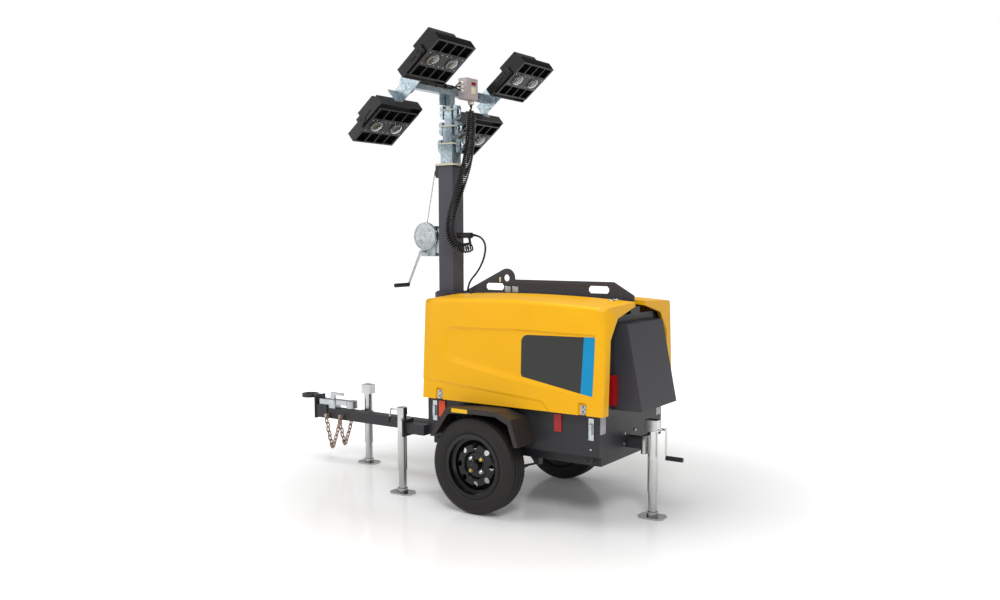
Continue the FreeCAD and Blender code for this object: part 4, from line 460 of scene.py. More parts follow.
def plate_on(name, node, start, way, up, width, height, thick, material, body, corner_mm=5):
    """Thin plate with rounded corners lying on the surface of a node that a line meets."""
    point, normal = touch(node, start, way)
    rise = Vector(up) - normal * Vector(up).dot(normal)
    rise.normalize()
    across = rise.cross(normal)
    outline = []
    for sign_x, sign_y, first in ((1, 1, 0), (-1, 1, 90), (-1, -1, 180), (1, -1, 270)):
        for step in range(4):
            angle = math.radians(first + 30 * step)
            outline.append((sign_x * (width / 2 - corner_mm) + corner_mm * math.cos(angle),
                            sign_y * (height / 2 - corner_mm) + corner_mm * math.sin(angle)))
    loops = []
    for out, inset in ((-0.5, 0), (thick * 0.6, 0), (thick, 0.6)):
        loops.append([point + (across * u * (1 - 2 * inset / width) + rise * v * (1 - 2 * inset / height)
                               + normal * out) * MM for u, v in outline])
    build = bmesh.new()
    prism(build, loops)
    return made(name, build, material, body)


charcoal = powder_coat("charcoal powder coat on steel", "#29292C", "#313135", 0.42)
# Electroplated zinc has no spangle: it is bright, with only a faint clouding.
plated = galvanised("zinc-plated steel", "#BFC3C5", "#A9AEB1", 40, 1.0, 0.2, 0.3)
for node in ("base_tray", "drawbar", "coupling_head", "centre_frame", "rear_panel", "jack_arms",
             "chassis_rails", "mast_pedestal", "mast_bearing", "axle", "leaf_springs", "tie_down_rings",
             "towing_eye"):
    finish_node(node, charcoal)

PANEL_SEATS = ((322, 650), (322, 780), (322, 910), (322, 1040), (262, 1075))
bolts("panel_bolts", [touch("rear_panel", spot(-1200, side * y, z), (1, 0, 0))
                      for _, side in SIDES for y, z in PANEL_SEATS], 6, plated, "trailer")
bolts("tray_bolts", [touch("base_tray", spot(x, side * 700, z), (0, -side, 0))
                     for _, side in SIDES for x in (-666, 376) for z in (420, 565)], 6, plated, "trailer")
bolts("rear_bolts", [touch("base_tray", spot(-1300, y, z), (1, 0, 0))
                     for y in (-34, 94) for z in (408, 464)], 9, plated, "trailer")
# Label film is smooth vinyl with a soft, even gloss. It is bare.
label_grey = moulded("blank silver-grey label film", "#B9B4B8", "#B2ADB1", 0.35, 5, 0.05)
for label, side in SIDES:
    plate_on("rear_label_" + label, "base_tray", spot(-1300, side * 346, 548), (1, 0, 0), (0, 0, 1), 60, 92,
             0.8, label_grey, "trailer", 4)


# Canopy: two rotomoulded polyethylene shells, coloured right through.
# The mould leaves a fine satin grain, drawn 5 mm wide, and the wall's thickness varies its tone a little.
# Each side has a shallow recess for a dark sheet, a set-back lower band and two notches for the latches.
yellow = moulded("rotomoulded yellow polyethylene", "#F8B900", "#EFAE00", 0.42, 5, 0.3)
# The side walls stand 434 mm out at their foot, 609 mm up, and lean in 36 mm over their 567 mm of height.
WALL_OUT, WALL_FOOT = 434, 609
LEAN = math.atan(36 / 567)
LATCHES = (313, -639)
HINGES = (330, -640)
SPINE = 61
EAVES = 1100
CROWN, CROWN_X, CROWN_FALL = 26, -80, 0.0000556
ROOF_REAR, ROOF_LENGTH, ROOF_CUTS = -764, 1197, 16


def on_wall(side, x, z, out):
    """Point on a canopy side wall, a distance in millimetres out from it."""
    y = WALL_OUT - (z - WALL_FOOT) * math.tan(LEAN) + out * math.cos(LEAN)
    return spot(x, side * y, z + out * math.sin(LEAN))


def crown(x):
    """How far the roof rises to its crown at x, in millimetres."""
    return CROWN - (x - CROWN_X) ** 2 * CROWN_FALL


def eased(outline, first, last, reach):
    """Outline with the corners from first to last bent into soft curves."""
    bent = []
    for index, corner_point in enumerate(outline):
        if not first <= index <= last:
            bent.append(corner_point)
            continue
        here = Vector(corner_point)
        back = here + (Vector(outline[index - 1]) - here).normalized() * reach
        fore = here + (Vector(outline[(index + 1) % len(outline)]) - here).normalized() * reach
        for step in range(11):
            share = step / 10
            bent.append(tuple(back * (1 - share) ** 2 + here * 2 * share * (1 - share) + fore * share ** 2))
    return bent


def notch(x, half, top, cut):
    """Outline of a latch notch, open at the shell's foot, with its two upper corners cut off."""
    return [(x - half, 600), (x - half, top - cut), (x - half + cut, top), (x + half - cut, top),
            (x + half, top - cut), (x + half, 600)]


SUNK = [
    # name, depth, outline at the wall, outline at the depth
    ("recess", 8, eased([(-702, 1036), (-190, 1043), (316, 1036), (316, 842), (-702, 701)], 2, 3, 88),
     eased([(-700, 1027), (-190, 1031), (274, 1017), (266, 872), (-700, 709)], 2, 3, 68)),
    ("band", 4, [(445, 728), (-390, 667), (-452, 600), (445, 600)],
     [(445, 716), (-384, 655), (-436, 600), (445, 600)]),
    ("front_notch", 14, notch(LATCHES[0], 27, 676, 8), notch(LATCHES[0], 23, 671, 7)),
    ("rear_notch", 14, notch(LATCHES[1], 27, 676, 8), notch(LATCHES[1], 23, 671, 7)),
]


def cut_shell(node, side, body):
    """Canopy shell with its recess, band and notches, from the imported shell's mesh."""
    piece = bpy.data.objects.new(node.replace("shell", "canopy_shell"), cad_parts[node].data.copy())
    bpy.context.scene.collection.objects.link(piece)
    # The roof rises to a crown; the hinge knuckles beside the spine stay where their pins are.
    build = bmesh.new()
    build.from_mesh(piece.data)
    for step in range(1, ROOF_CUTS):
        everything = build.verts[:] + build.edges[:] + build.faces[:]
        middle = spot(ROOF_REAR + ROOF_LENGTH * step / ROOF_CUTS, 0, 0)
        bmesh.ops.bisect_plane(build, geom=everything, plane_co=middle, plane_no=(1, 0, 0), dist=0.00001)
    for point in build.verts:
        x, z = (point.co.x - ground.x) / MM, point.co.z / MM
        if z > EAVES and abs(point.co.y) > SPINE * MM:
            share = min(1, (z - EAVES) / 60)
            point.co.z += crown(x) * share * share * (3 - 2 * share) * MM
    build.to_mesh(piece.data)
    build.free()
    cutters = []
    for name, depth, mouth, foot in SUNK:
        # The cutter starts 6 mm outside the wall, on the same slopes as between mouth and foot.
        build = bmesh.new()
        lip = [(x + (x - a) * 6 / depth, z + (z - b) * 6 / depth) for (x, z), (a, b) in zip(mouth, foot)]
        prism(build, [[on_wall(side, x, z, out) for x, z in outline]
                      for outline, out in ((lip, 6), (foot, -depth))])
        bmesh.ops.recalc_face_normals(build, faces=build.faces)
        mesh = bpy.data.meshes.new(name)
        build.to_mesh(mesh)
        build.free()
        cutter = bpy.data.objects.new(name, mesh)
        bpy.context.scene.collection.objects.link(cutter)
        cutters.append(cutter)
        cut = piece.modifiers.new(name, "BOOLEAN")
        cut.operation = "DIFFERENCE"
        cut.solver = "EXACT"
        cut.object = cutter
    bpy.context.view_layer.update()
    shaped = bpy.data.meshes.new_from_object(piece.evaluated_get(bpy.context.evaluated_depsgraph_get()))
    piece.modifiers.clear()
    piece.data = shaped
    for cutter in cutters:
        bpy.data.objects.remove(cutter)
    shaped.materials.clear()
    shaped.materials.append(yellow)
    shaped.materials.append(plated)
    # The hinge leaves, which stand proud of the roof beside the spine, are zinc plated.
    for face in shaped.polygons:
        face.use_smooth = True
        face.material_index = 0
        middle = (face.center - ground) / MM
        beside = abs(middle.y)
        roof = 1193 + (crown(middle.x) if beside > SPINE else 0) - max(0, beside - 62) * 16 / 336
        if min(abs(middle.x - x) for x in HINGES) < 30 and beside < 140 and middle.z > roof:
            face.material_index = 1
    shaped.set_sharp_from_angle(angle=math.radians(28))
    if "custom_normal" in shaped.attributes:
        shaped.attributes.remove(shaped.attributes["custom_normal"])
    # On the side walls the recess, the band and the notches keep their edges, down to a bend of 5 degrees.
    build = bmesh.new()
    build.from_mesh(shaped)
    for edge in build.edges:
        middle = ((edge.verts[0].co + edge.verts[1].co) / 2 - ground) / MM
        on_side = -735 < middle.x < 402 and middle.z < 1110 and abs(middle.y) > 385
        if on_side and len(edge.link_faces) == 2 and edge.calc_face_angle(0) > math.radians(5):
            edge.smooth = False
    build.to_mesh(shaped)
    build.free()
    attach(piece, body)
    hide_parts(node)
    return piece


# Side sheets and hasps: cut vinyl stuck in the recess, dark grey with a plain blue strip at its rear end, under
# a half-matt laminate and bare of words or marks. In the notches sit pressed zinc-plated hasps, each with a
# folded lip and a staple for the latch's hook. Their two round holes are not cut: dark discs stand for them,
# painted shade where the holes would show.
vinyl = moulded("dark grey vinyl sheet", "#343634", "#303230", 0.38, 6, 0.05)
blue_vinyl = moulded("blue vinyl strip", "#0092C8", "#008BC0", 0.35, 6, 0.05)
SHEET = [(-699, 1023), (-279, 1015), (-260, 1010), (-246, 997), (-240, 983), (-243, 801), (-251, 783),
         (-273, 772), (-693, 711)]


def inside_sheet(front):
    """Outline of the sheet ahead of or behind the leaning line where grey meets blue."""
    low, high = (-622, 721), (-632, 1021)
    if front:
        return [high] + SHEET[1:8] + [low]
    return [SHEET[0], high, low, SHEET[8]]


for label, side in SIDES:
    cut_shell("shell_" + label, side, "canopy_" + label)
    for name, front, material in (("side_sheet_", True, vinyl), ("blue_strip_", False, blue_vinyl)):
        outline = inside_sheet(front)
        build = bmesh.new()
        prism(build, [[on_wall(side, x, z, out) for x, z in outline] for out in (-8.3, -7.3)])
        made(name + label, build, material, "canopy_" + label)
    build = bmesh.new()
    for x in LATCHES:
        for low, high, half, back, out in ((612, 662, 17, -14.2, -11.2), (612, 620, 11, -11.4, -4),
                                           (636, 644, 11, -11.4, -5)):
            prism(build, [[on_wall(side, x + a * (half - inset), z, depth) for a, z in (
                (-1, low + inset), (1, low + inset), (1, high - inset), (-1, high - inset))]
                          for inset, depth in ((0, back), (1, out))])
    made("hasps_" + label, build, plated, "canopy_" + label)
    # Dark discs on each hasp stand for its two round holes: painted shade, not holes cut through.
    build = bmesh.new()
    for x in LATCHES:
        for z in (628, 654):
            turned(build, on_wall(side, x, z, -11.3), (0, side * math.cos(LEAN), math.sin(LEAN)),
                   [(5, 0), (5, 0.5), (4.4, 0.8)], 14)
    made("hasp_hole_shade_discs_" + label, build, charcoal, "canopy_" + label)


# Lifting plate and rear hood: laser-cut and folded sheet steel, dark grey powder coat, with rounded edges.
# Two small zinc-plated plates and one pale label on each side of the lifting plate are left blank.
label_white = moulded("blank pale label film", "#E8E0C0", "#DED6B8", 0.4, 5, 0.05)
hood_grey = powder_coat("dark grey powder coat on sheet steel", "#36363B", "#3F3F44", 0.45)
finish_node("rear_hood", hood_grey)


def arc_of(x, z, radius, first, last, steps=20):
    """Points on an arc in the upright middle plane, angles in degrees from forward, upwards."""
    turns = [math.radians(first + (last - first) * step / steps) for step in range(steps + 1)]
    return [(x + radius * math.cos(turn), z + radius * math.sin(turn)) for turn in turns]


def hand_slot(x):
    """Outline of a hand slot with cut corners."""
    return [(x + a, 1249 + b) for a, b in ((-67, 8), (-55, 21), (55, 21), (67, 8),
                                           (67, -8), (55, -21), (-55, -21), (-67, -8))]


EYE_X, EYE_Z, EYE_RIM, EYE_HOLE = 122, 1303, 57, 21.5
PLATE_FRONT, PLATE_EDGE, PLATE_FOOT = 433, 1215, 1160
PLATE_HALF, PLATE_ROUND = 6, 0.6
# The front slope meets the eye's rim as a tangent.
run, fall = PLATE_FRONT - EYE_X, PLATE_EDGE - EYE_Z
slope = math.degrees(math.atan2(fall, run) + math.acos(EYE_RIM / math.hypot(run, fall)))
outlines = [[(PLATE_FRONT, PLATE_FOOT), (PLATE_FRONT, PLATE_EDGE)] + arc_of(EYE_X, EYE_Z, EYE_RIM, slope, 188)
            + [(-600, 1295), (-727, 1222), (-727, PLATE_FOOT)],
            arc_of(EYE_X, EYE_Z, EYE_HOLE, 0, 345, 23), hand_slot(208), hand_slot(-506)]
flat = bpy.data.curves.new("flat", "CURVE")
flat.dimensions = "2D"
flat.fill_mode = "BOTH"
flat.extrude = (PLATE_HALF - PLATE_ROUND) * MM
flat.bevel_depth = PLATE_ROUND * MM
flat.offset = -PLATE_ROUND * MM
for outline in outlines:
    spline = flat.splines.new("POLY")
    spline.points.add(len(outline) - 1)
    for point, (x, z) in zip(spline.points, outline):
        point.co = (x * MM, z * MM, 0, 1)
    spline.use_cyclic_u = True
holder = bpy.data.objects.new("flat", flat)
bpy.context.scene.collection.objects.link(holder)
sheet_mesh = bpy.data.meshes.new_from_object(holder)
bpy.data.objects.remove(holder)
sheet_mesh.transform(Matrix.Translation(ground) @ Matrix.Rotation(math.radians(90), 4, "X"))
plate_build = bmesh.new()
plate_build.from_mesh(sheet_mesh)
bmesh.ops.remove_doubles(plate_build, verts=plate_build.verts, dist=0.00002)
lift = made("lifting_plate_cut", plate_build, hood_grey, "trailer")
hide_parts("lifting_plate")
bpy.context.view_layer.update()
for label, side in SIDES:
    for number, x in ((1, 112), (2, 58)):
        plate_on("data_plate_%d_%s" % (number, label), lift, spot(x, side * 60, 1232), (0, -side, 0), (0, 0, 1),
                 42, 42, 1.2, plated, "trailer", 4)
    plate_on("eye_label_" + label, lift, spot(168, side * 60, 1292), (0, -side, 0), (0, 0, 1), 12, 30, 0.6,
             label_white, "trailer", 2)


# Mast, crossbar, jacks and chains: a slate powder-coated outer tube, hot-dip galvanised inner sections with
# rope pulleys, and jack tubes of bright zinc-plated drawn steel. The collars' edges are painted cream, and the
# pulley ears at the mast's head are black.
MAST_X = 541
# Zinc crystals, the spangle, give flat patches 12 mm across in blue-grey tones that each shine differently.
dipped = galvanised("hot-dip galvanised steel", "#C9D3D8", "#90A0A8", 12)
slate = powder_coat("slate powder coat on mast tube", "#403F48", "#494851", 0.45)
finish_node("mast_tube", slate)
# The enamel is brushed on and dries half glossy.
cream = powder_coat("cream enamel on collar edge", "#D9D2BC", "#CFC8B0", 0.45)
ear_black = powder_coat("black enamel on pulley ears", "#17171A", "#202024", 0.35)
for node in ("mast_section_2", "mast_section_3", "mast_section_4", "mast_head", "crossbar", "lamp_brackets"):
    finish_node(node, dipped)
# Drawn tube has no spangle either, and mirrors softly along its length.
bright_zinc = galvanised("bright zinc-plated drawn tube", "#CFD0CF", "#ABACAA", 160, 1.0, 0.14, 0.2)
for node in ("jack_tubes", "jack_leg_left", "jack_leg_right", "jack_leg_rear", "jack_leg_drawbar"):
    finish_node(node, bright_zinc)
for node in ("ball_coupler", "winch_frame", "winch_drum", "winch_crank", "winch_cable", "toggle_latches"):
    finish_node(node, plated)
SECTIONS = (("section_2", 90, 2132), ("section_3", 70, 2240), ("section_4", 55, 2340))


def upright_beyond(reach):
    """Whether a face stands upright and lies further out from the mast's axis than a reach."""
    return lambda x, y, z, n: max(abs(x - MAST_X), abs(y)) > reach and abs(n.z) < 0.5


for body, width, top in SECTIONS:
    repaint("mast_" + body, cream, upright_beyond(width / 2 + 10))
repaint("mast_tube", cream, lambda x, y, z, n: z > 1980 and x < MAST_X + 70 and upright_beyond(65)(x, y, z, n))
repaint("mast_tube", ear_black, lambda x, y, z, n: x > MAST_X + 58 and z > 1880)
# Rope anchors on the sections: two bent cheeks with a steel pulley on a bolt between them.
for body, width, top in SECTIONS:
    cheeks, pulleys = bmesh.new(), bmesh.new()
    for turn in (1, -1):
        near = turn * (width / 2 + 14)
        for y in (-23, 18):
            shape = [(0, -60), (10, -60), (24, -40), (24, 14), (16, 24), (0, 24)]
            prism(cheeks, [[spot(MAST_X + near + turn * a, y + b, top + z) for a, z in shape] for b in (0, 5)])
        shape = [(0, -60), (4, -60), (4, 24), (0, 24)]
        prism(cheeks, [[spot(MAST_X + near + turn * a, y, top + z) for a, z in shape] for y in (-18, 18)])
        hub_at = spot(MAST_X + near + turn * 13, -24.5, top - 16)
        turned(pulleys, hub_at, (0, 1, 0), [
            (6, 0), (6, 2), (4, 2), (4, 17), (19, 17), (19, 19), (15, 22), (15, 27), (19, 30), (19, 32),
            (4, 32), (4, 47), (6, 47), (6, 49)], 24)
    made("rope_anchors_" + body, cheeks, dipped, body)
    made("rope_pulleys_" + body, pulleys, plated, body)
# The chains' zinc has worn and browned on the road.
chain_zinc = galvanised("weathered zinc on chain steel", "#CDBBAF", "#9C8678", 16, 0.7, 0.3, 0.5)
finish_node("safety_chains", chain_zinc)


# Winch: zinc-plated frame, drum and gear cover on the front of the mast, with a black crank grip.
# The gear cover is a pressed disc held by six small screws round its rim and one nut in the middle.
grip_black = moulded("black moulded grip", "#161618", "#1D1D20", 0.5, 4, 0.3)
repaint("winch_crank", grip_black, lambda x, y, z, n: abs(y) > 100)
COVER_X, COVER_Z, SCREW_RING = 711, 1556, 74
seats = []
for step in range(6):
    angle = math.radians(30 + 60 * step)
    start = spot(COVER_X + SCREW_RING * math.cos(angle), 300, COVER_Z + SCREW_RING * math.sin(angle))
    seats.append(touch("winch_drum", start, (0, -1, 0)))
seats.append(touch("winch_drum", spot(COVER_X, 300, COVER_Z), (0, -1, 0)))
build = bmesh.new()
for outer, inner, rise in ((86, 79, 2.5), (52, 44, 2)):
    turned(build, seats[-1][0], (0, 1, 0), [
        (inner, -0.5), (outer, -0.5), (outer, rise - 0.6), (outer - 0.8, rise), (inner + 0.8, rise),
        (inner, rise - 0.6), (inner, -0.4)], 48)
made("gear_cover_rings", build, plated, "mast")
bolts("gear_screws", [seat for seat in seats if seat[1].y > 0.9], 6, plated, "mast")


# Fenders, cable plug and glands: moulded black polypropylene with a coarser grain.
# A small plain yellow plate is riveted near the front of each fender's top.
black_pp = moulded("moulded black polypropylene", "#2B2624", "#342E2B", 0.5, 4, 0.4)
for node in ("fender_left", "fender_right", "cable_plug", "roof_gland"):
    finish_node(node, black_pp)
plate_yellow = moulded("yellow plastic plate", "#F3C318", "#EAB80F", 0.4, 6, 0.1)
for label, side in SIDES:
    plate_on("fender_plate_" + label, "fender_" + label, spot(72, side * 700, 582), (0, -side, 0), (0, 0, 1),
             110, 22, 2, plate_yellow, "trailer", 4)


# Engine and generator: one plain block in place of both, since the canopy hides them when it is shut.
# Sand-cast iron under sprayed paint looks flat and slightly pebbled. The block is bolted to the tray.
block_grey = powder_coat("painted cast engine block", "#2A2B2E", "#38393B", 0.55)
finish_node("engine_block", block_grey)


# Floodlights: die-cast aluminium with black powder coat, each with two deep spun reflectors.
# A yellow chip-on-board LED on a white ceramic carrier stands in each reflector, close behind a clear dome
# moulded from polycarbonate. The carrier is drawn as a wide white cup that fills most of the reflector, so that
# its white is partly the carrier's own and partly a painted reflection of the reflector's bright shine. Screws
# hold the reflector plate, and black rims hold the domes.
lamp_black = powder_coat("black powder coat on cast aluminium", "#0A0A0C", "#111114", 0.4)
# Spun and anodised aluminium mirrors what faces it, a little blurred.
mirror = galvanised("spun and anodised reflector aluminium", "#EDEDEB", "#D2D0CC", 60, 0.95, 0.12, 0.2)
chip = moulded("yellow phosphor over LED chips", "#FFD21E", "#FAC814", 0.45, 3, 0.05)
# Glazed ceramic is white and half glossy; on the wide cup this white is partly painted reflection. The
# phosphor over the chips is matt like dried paint.
ceramic = moulded("white LED carrier with painted reflector shine", "#E6E4DE", "#DCDAD3", 0.4, 3, 0.05)
# Moulded polycarbonate is clear and glossy, and wavers slightly over 14 mm.
dome, dome_out = new_material("clear moulded polycarbonate")
waver = put(dome, "ShaderNodeTexNoise", {"Scale": 1 / (14 * MM), "Detail": 1.0})
dome_bump = put(dome, "ShaderNodeBump", {
    "Height": waver.outputs["Fac"], "Strength": 0.05, "Distance": 0.2 * MM})
surface(dome, dome_out, put(dome, "ShaderNodeBsdfPrincipled", {
    "Base Color": linear("#F4F7F8"), "Roughness": 0.03, "IOR": 1.58, "Transmission Weight": 1.0,
    "Normal": dome_bump.outputs[0]}))
# The lamps' middles lie 435 mm out and 272 mm up or down their tilted frame, and each lamp's two LEDs stand
# 87 mm out from its middle. Reflector rims and tilt pins lie 101 and 61 mm on the beam's side of the crossbar.
LAMP_OUT, LAMP_RISE, LED_OUT, RIM_BACK, PIN_BACK, YOKE_OUT = 435, 272, 87, -101, -61, 187
TILT = math.radians(51)
BEAM = Vector((-math.cos(TILT), 0, -math.sin(TILT)))
FACE_UP = Vector((-math.sin(TILT), 0, math.cos(TILT)))


def lamp_spot(x, y, z):
    """Point in the tilted frame of the lamps: behind the crossbar's axis, along it, and up the faces."""
    return spot(MAST_X, y, 2450) + (-BEAM * x + FACE_UP * z) * MM


def bulge(radius, height, base, first, last, step):
    """Profile of a dome: part of an ellipse, angles in degrees from its base."""
    turns = [math.radians(a) for a in range(first, last, step)]
    return [(radius * math.cos(turn), base + height * math.sin(turn)) for turn in turns]


# A dome is a shell: outside from the crown to its base, then inside back up.
DOME = bulge(41, 17, 0.5, 88, -1, -11) + [(41, -1), (38.5, -1)] + bulge(38.5, 14.5, 0, 0, 89, 11)
DOME_RIM = [(43, -1), (53, -1), (53, 2), (51, 3.4), (45, 3.4), (41.6, 1.8), (41.6, -1)]
CLAMP_RING = [(9, -0.4), (27, -0.4), (27, 3.2), (25.5, 4.4), (9, 4.4), (9, -0.3)]
FIN = ((-94, -1), (-94, 5), (-88, 8), (-54, 8), (-48, 5), (-48, -1))
HANDLE = ((-7, 22), (-6, 70), (-3, 76), (0, 78), (3, 76), (6, 70), (7, 22))
finish_node("lamp_yokes", lamp_black)
for level, up in (("upper", 1), ("lower", -1)):
    for label, side in SIDES:
        node = "lamp_%s_%s" % (level, label)
        optics = node.replace("lamp", "optics")
        middle_y, middle_z = side * LAMP_OUT, up * LAMP_RISE
        finish_node(node, lamp_black)
        finish_node(optics, mirror)
        leds, rings, domes, seals = bmesh.new(), bmesh.new(), bmesh.new(), bmesh.new()
        for turn_side in (1, -1):
            y = middle_y + turn_side * LED_OUT
            floor_point = touch(optics, lamp_spot(-160, y, middle_z), -BEAM)[0]
            rim_point = lamp_spot(RIM_BACK, y, middle_z)
            deep = (rim_point - floor_point).dot(BEAM) / MM
            # The carrier flares to 39 mm near the rim: a white cup whose white is partly painted reflection of
            # the shine.
            carrier = [(24, -0.3), (24, deep - 14), (39, deep - 5), (39, deep - 3), (23, deep - 10)]
            turned(rings, floor_point, BEAM, carrier, 32)
            turned(leds, floor_point, BEAM, [
                (20.5, deep - 10.3), (20.5, deep - 7.5), (18, deep - 5.2), (10, deep - 4)], 24)
            turned(domes, rim_point, BEAM, DOME, 36)
            turned(seals, rim_point, BEAM, DOME_RIM, 36)
        made("led_rings_" + node[5:], rings, ceramic, node)
        made("leds_" + node[5:], leds, chip, node)
        made("led_domes_" + node[5:], domes, dome, node, 60)
        made("dome_rims_" + node[5:], seals, lamp_black, node)
        fins = bmesh.new()
        for step in range(-10, 11):
            y = middle_y + step * 15.5
            edge = middle_z + up * 139.2
            prism(fins, [[lamp_spot(x, y + a, edge + up * b) for x, b in FIN] for a in (-2, 2)])
        made("edge_fins_" + node[5:], fins, lamp_black, node)
        # Tilt clamps: black-coated steel washers round the pins on the yoke's arms, each with a flat handle.
        clamps = bmesh.new()
        for hand in (1, -1):
            seat = lamp_spot(PIN_BACK, middle_y + hand * YOKE_OUT, middle_z)
            turned(clamps, seat, (0, hand, 0), CLAMP_RING, 36)
            bar = [(PIN_BACK + a, up * (LAMP_RISE - b)) for a, b in HANDLE]
            prism(clamps, [[lamp_spot(x, middle_y + hand * y, z) for x, z in bar] for y in (186.6, 190.4)])
        made("tilt_clamps_" + node[5:], clamps, lamp_black, "head")
        seats = []
        for rise in (40, -40):
            for reach in (-150, -118, -44, 0, 44, 118, 150):
                point, normal = touch(node, lamp_spot(-160, middle_y + reach, middle_z + rise), -BEAM)
                if normal.dot(BEAM) > 0.95:
                    seats.append(point)
        build = bmesh.new()
        for point in seats:
            turned(build, point, BEAM, [(3.6, -0.3), (3.6, 1.2), (2.6, 2.2), (0.8, 2.4)], 12)
        made("plate_screws_" + node[5:], build, plated, node)


# Junction box: moulded grey ABS behind the crossbar, with a red strip of two buttons.
# Nylon glands let three black cables out at its side, and ties hold them along the crossbar towards the lamps.
# A larger gland under the box takes the curly cable.
# ABS takes an even satin grain from its mould, and nylon looks waxy.
box_grey = moulded("moulded grey ABS", "#B9AFAF", "#ADA3A3", 0.45, 3, 0.2)
finish_node("junction_box", box_grey)
button_red = moulded("moulded red polyamide", "#B3201C", "#A31B18", 0.35, 3, 0.1)
nylon = moulded("white nylon gland", "#E9E6DF", "#DDDAD2", 0.4, 3, 0.1)
STRIP_Z, STRIP_THICK = 2506, 2.4
plate_on("button_strip", "junction_box", spot(300, -122, STRIP_Z), (1, 0, 0), (0, 0, 1), 46, 18, STRIP_THICK,
         button_red, "head", 4)
plate_on("box_label", "junction_box", spot(300, -122, 2464), (1, 0, 0), (0, 0, 1), 44, 42, 0.6, label_white,
         "head", 3)
build = bmesh.new()
for y in (-133, -111):
    point = touch("junction_box", spot(300, y, STRIP_Z), (1, 0, 0))[0]
    turned(build, point - Vector((STRIP_THICK, 0, 0)) * MM, (-1, 0, 0), [(7, -0.3), (7, 2.2), (5.8, 3.4)], 20)
made("buttons", build, moulded("dark red moulded button", "#7E1512", "#701210", 0.3, 3, 0.1), "head")
build = bmesh.new()
seats = []
for z in (2458, 2482, 2506):
    point = touch("junction_box", spot(483, 60, z), (0, -1, 0))[0]
    seats.append(point)
    turned(build, point, (0, 1, 0), [(10, -0.4), (10, 5), (9, 6)], 6)
    turned(build, point, (0, 1, 0), [(8.4, 5), (8.4, 14), (6.2, 18), (5.2, 19)], 18)
below = spot(483.5, -140, 2408)
turned(build, below, (0, 0, -1), [(20.5, 0.2), (20.5, 12), (19, 13.5)], 6)
turned(build, below, (0, 0, -1), [(20, 13.5), (20, 24), (17, 27), (11, 27.4)], 24)
made("box_glands", build, nylon, "head")
for index, start in enumerate(seats):
    z = 2479 - 9 * index
    line = [start + Vector((0, 12, 0)) * MM, start + Vector((0, 34, 0)) * MM, spot(500, 24, z),
            spot(510.5, 60, z), spot(510.5, 200, z), spot(510.5, 330, z), spot(512, 372, z - 2)]
    lead = smooth_curve("lamp_lead_%d" % (index + 1), line, 12)
    lead.data.bevel_depth = 0.0042
    lead.data.bevel_resolution = 3
    lead.data.use_fill_caps = True
    lead.data.materials.append(sheath)
    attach(lead, "head")
build = bmesh.new()
for y in (90, 180, 270, 340):
    turned(build, spot(510.5, y - 3, 2470), (0, 1, 0), [(15.2, 0), (15.8, 0.5), (15.8, 5.5), (15.2, 6)], 20)
made("lead_ties", build, grip_black, "head")


# Lenses: red and amber acrylic, moulded with fine prisms behind a smooth face, so they look deep and sparkle.
# Prisms of about 3 mm are drawn 8 mm wide, so that they show. The lenses are screwed to the sheet behind them.
red_lens = moulded("moulded red acrylic", "#B01217", "#8E0C12", 0.18, 8, 0.8, 20)
amber_lens = moulded("moulded amber acrylic", "#F0521A", "#D8430F", 0.25, 8, 0.8, 20)
finish_node("tail_lamps", red_lens)
finish_node("red_reflectors", red_lens)
finish_node("amber_reflectors", amber_lens)


# Wheels: pressed steel rims in black enamel, with zinc-plated nuts and a pressed cap.
# The tyres are black rubber: ribbed tread with cross grooves, a shoulder, and rings moulded in the side wall.
enamel = powder_coat("black enamel on pressed steel", "#0C0C0E", "#121214", 0.16)
rubber = moulded("tyre rubber", "#1C1918", "#23201E", 0.62, 6, 0.5, 60)
# Yellow chromate over zinc has a dull gold shine.
brass = galvanised("yellow chromate on wheel nuts", "#CDB778", "#A99558", 20, 0.9, 0.25, 0.4)
WHEEL_Z, WHEEL_Y = 273.6, 476
TEETH, TOOTH_DEEP = 96, 3.5
STUD_RING = 49
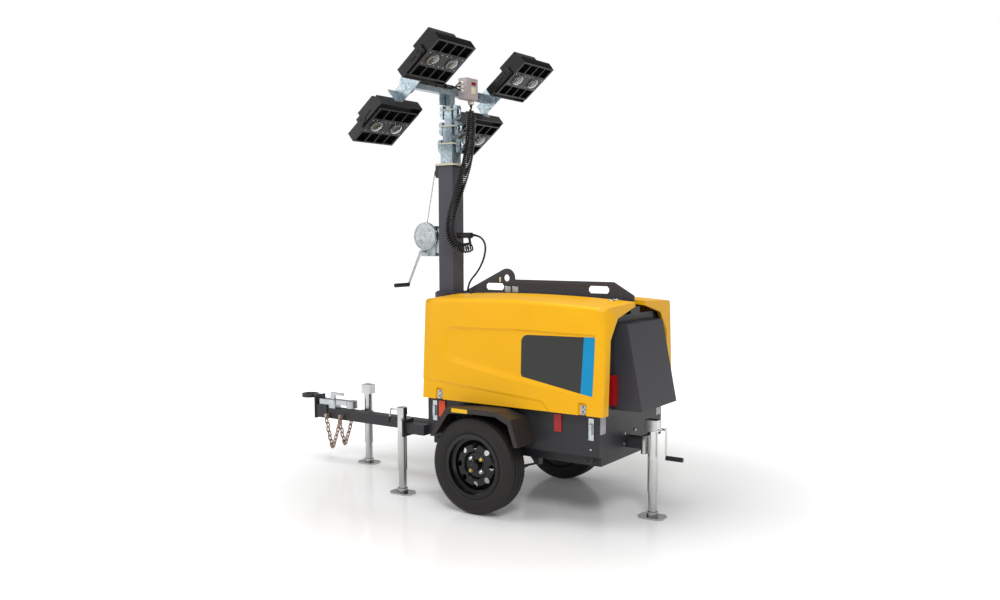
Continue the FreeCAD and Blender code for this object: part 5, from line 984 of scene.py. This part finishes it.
# Radius and distance out from the tyre's middle plane, from the bead over the side wall to the tread's middle.
PROFILE = [
    (165.4, 63.2), (182.3, 63.2), (184, 66), (192, 71.5), (196, 74.4), (199, 73.4), (203, 75.6), (214, 77.4),
    (218, 78.3), (222, 78.3), (225, 77.2), (238, 76.6), (242, 77.4), (246, 76.4), (252, 73), (260, 68.5),
    (266, 65), (270.6, 60.5), (272, 56), (272.2, 40.5), (266, 39), (266, 34), (272.9, 32.5), (273.5, 14),
    (266.5, 12.5), (266.5, 7.5), (273.5, 6)]
for label, side in SIDES:
    finish_node("rim_" + label, enamel)
    hub = spot(0, side * WHEEL_Y, WHEEL_Z)
    build = bmesh.new()
    rows = []
    section = PROFILE + [(r, -y) for r, y in PROFILE[::-1]]
    for step in range(TEETH * 2):
        angle = math.pi * step / TEETH
        row = []
        for r, y in section:
            in_groove = step % 2 == 1 and 252 < r and abs(y) > 42
            radius = r - (TOOTH_DEEP if in_groove else 0)
            place = Vector((math.cos(angle) * radius, y, math.sin(angle) * radius))
            row.append(build.verts.new(hub + place * MM))
        rows.append(row)
    count = len(section)
    for step, row in enumerate(rows):
        after = rows[(step + 1) % len(rows)]
        for index in range(count):
            following = (index + 1) % count
            build.faces.new((row[index], row[following], after[following], after[index]))
    tyre = made("road_tyre_" + label, build, rubber, "wheel_" + label, 40)
    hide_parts("tyre_" + label)
    nuts, yellow_nuts = bmesh.new(), bmesh.new()
    for step in range(4):
        angle = math.radians(45 + 90 * step)
        seat = hub + Vector((math.cos(angle) * STUD_RING, 0, math.sin(angle) * STUD_RING)) * MM
        # The rim's face is found 14 mm beside the stud, which stands out from it.
        beside = Vector((14 * math.cos(angle + 1.57), side * 200, 14 * math.sin(angle + 1.57))) * MM
        seat.y = touch("rim_" + label, seat + beside, (0, -side, 0))[0].y
        build = yellow_nuts if step % 2 else nuts
        turned(build, seat, (0, side, 0), [(12.5, -0.5), (12.5, 2), (11.6, 2.6)], 24)
        turned(build, seat, (0, side, 0), [(11.4, 2), (11.4, 15.4), (9.6, 17), (5, 17.4)], 6)
    made("wheel_nuts_" + label, nuts, plated, "wheel_" + label)
    made("yellow_nuts_" + label, yellow_nuts, brass, "wheel_" + label)
    build = bmesh.new()
    cap = touch("rim_" + label, hub + Vector((25, side * 200, 0)) * MM, (0, -side, 0))[0]
    cap.x, cap.z = hub.x, hub.z
    turned(build, cap, (0, side, 0), [(26.5, -3), (27, 0.4), (24, 3), (14, 4.4), (4, 4.8)], 32)
    made("hub_cap_" + label, build, enamel, "wheel_" + label, 50)


# Strain reliefs: tapered sleeves where the cables enter the plug, the junction box and the roof gland.
# They are moulded from the same black polyurethane as the cables and pressed over their ends.
SLEEVES = [
    # name, body, and for each sleeve its place, its way and its profile
    ("plug_sleeves", "mast", [
        (coil[-1] + Vector((0, 0, 0.004)), (0, 0, -1), [(10, 0), (10, 6), (7.5, 12), (5.4, 26), (4.9, 30)]),
        (supply_line[0] + Vector((0.006, 0, 0)), (-1, 0, 0),
         [(11, 0), (11, 8), (8.6, 14), (7.2, 30), (6.6, 34)])]),
    ("box_sleeve", "head", [
        (coil[0] + Vector((0, 0, 0.006)), (0, 0, -1), [(10, 0), (10, 10), (6, 26), (5, 32)])]),
    ("roof_sleeve", "trailer", [
        (supply_line[-1] - Vector((0, 0, 0.004)), (0, 0, 1),
         [(10.5, 0), (10.5, 8), (8, 14), (7, 30), (6.5, 32)])]),
]
for name, body, forms in SLEEVES:
    build = bmesh.new()
    for place, way, profile in forms:
        turned(build, place, way, profile)
    made(name, build, sheath, body)


# Jack hardware: spring pins through the swivel plates, each with a bent wire lever and a black moulded knob.
# Pins and levers are zinc-plated steel, pressed into the plates. The rear jack's crank has a black grip too.
build = bmesh.new()
knobs = bmesh.new()
repaint("jack_tubes", grip_black, lambda x, y, z, n: x < -943)
for _, side in SIDES:
    seat = spot(620, side * 400, 508)
    turned(build, seat + Vector((0.0285, 0, 0)), (1, 0, 0), [(9, -2), (9, 5), (5, 6), (5, 60), (4, 62)], 16)
    turned(build, seat + Vector((0.0885, 0, 0)), (0.2, 0, -1), [(5, -4), (5, 50), (4, 52)], 16)
    turned(knobs, seat + Vector((0.098, 0, -0.048)), (0.2, 0, -1), [(6, 0), (9, 4), (9, 34), (6, 38)], 16)
made("jack_levers", build, plated, "trailer")
made("jack_knobs", knobs, grip_black, "trailer")
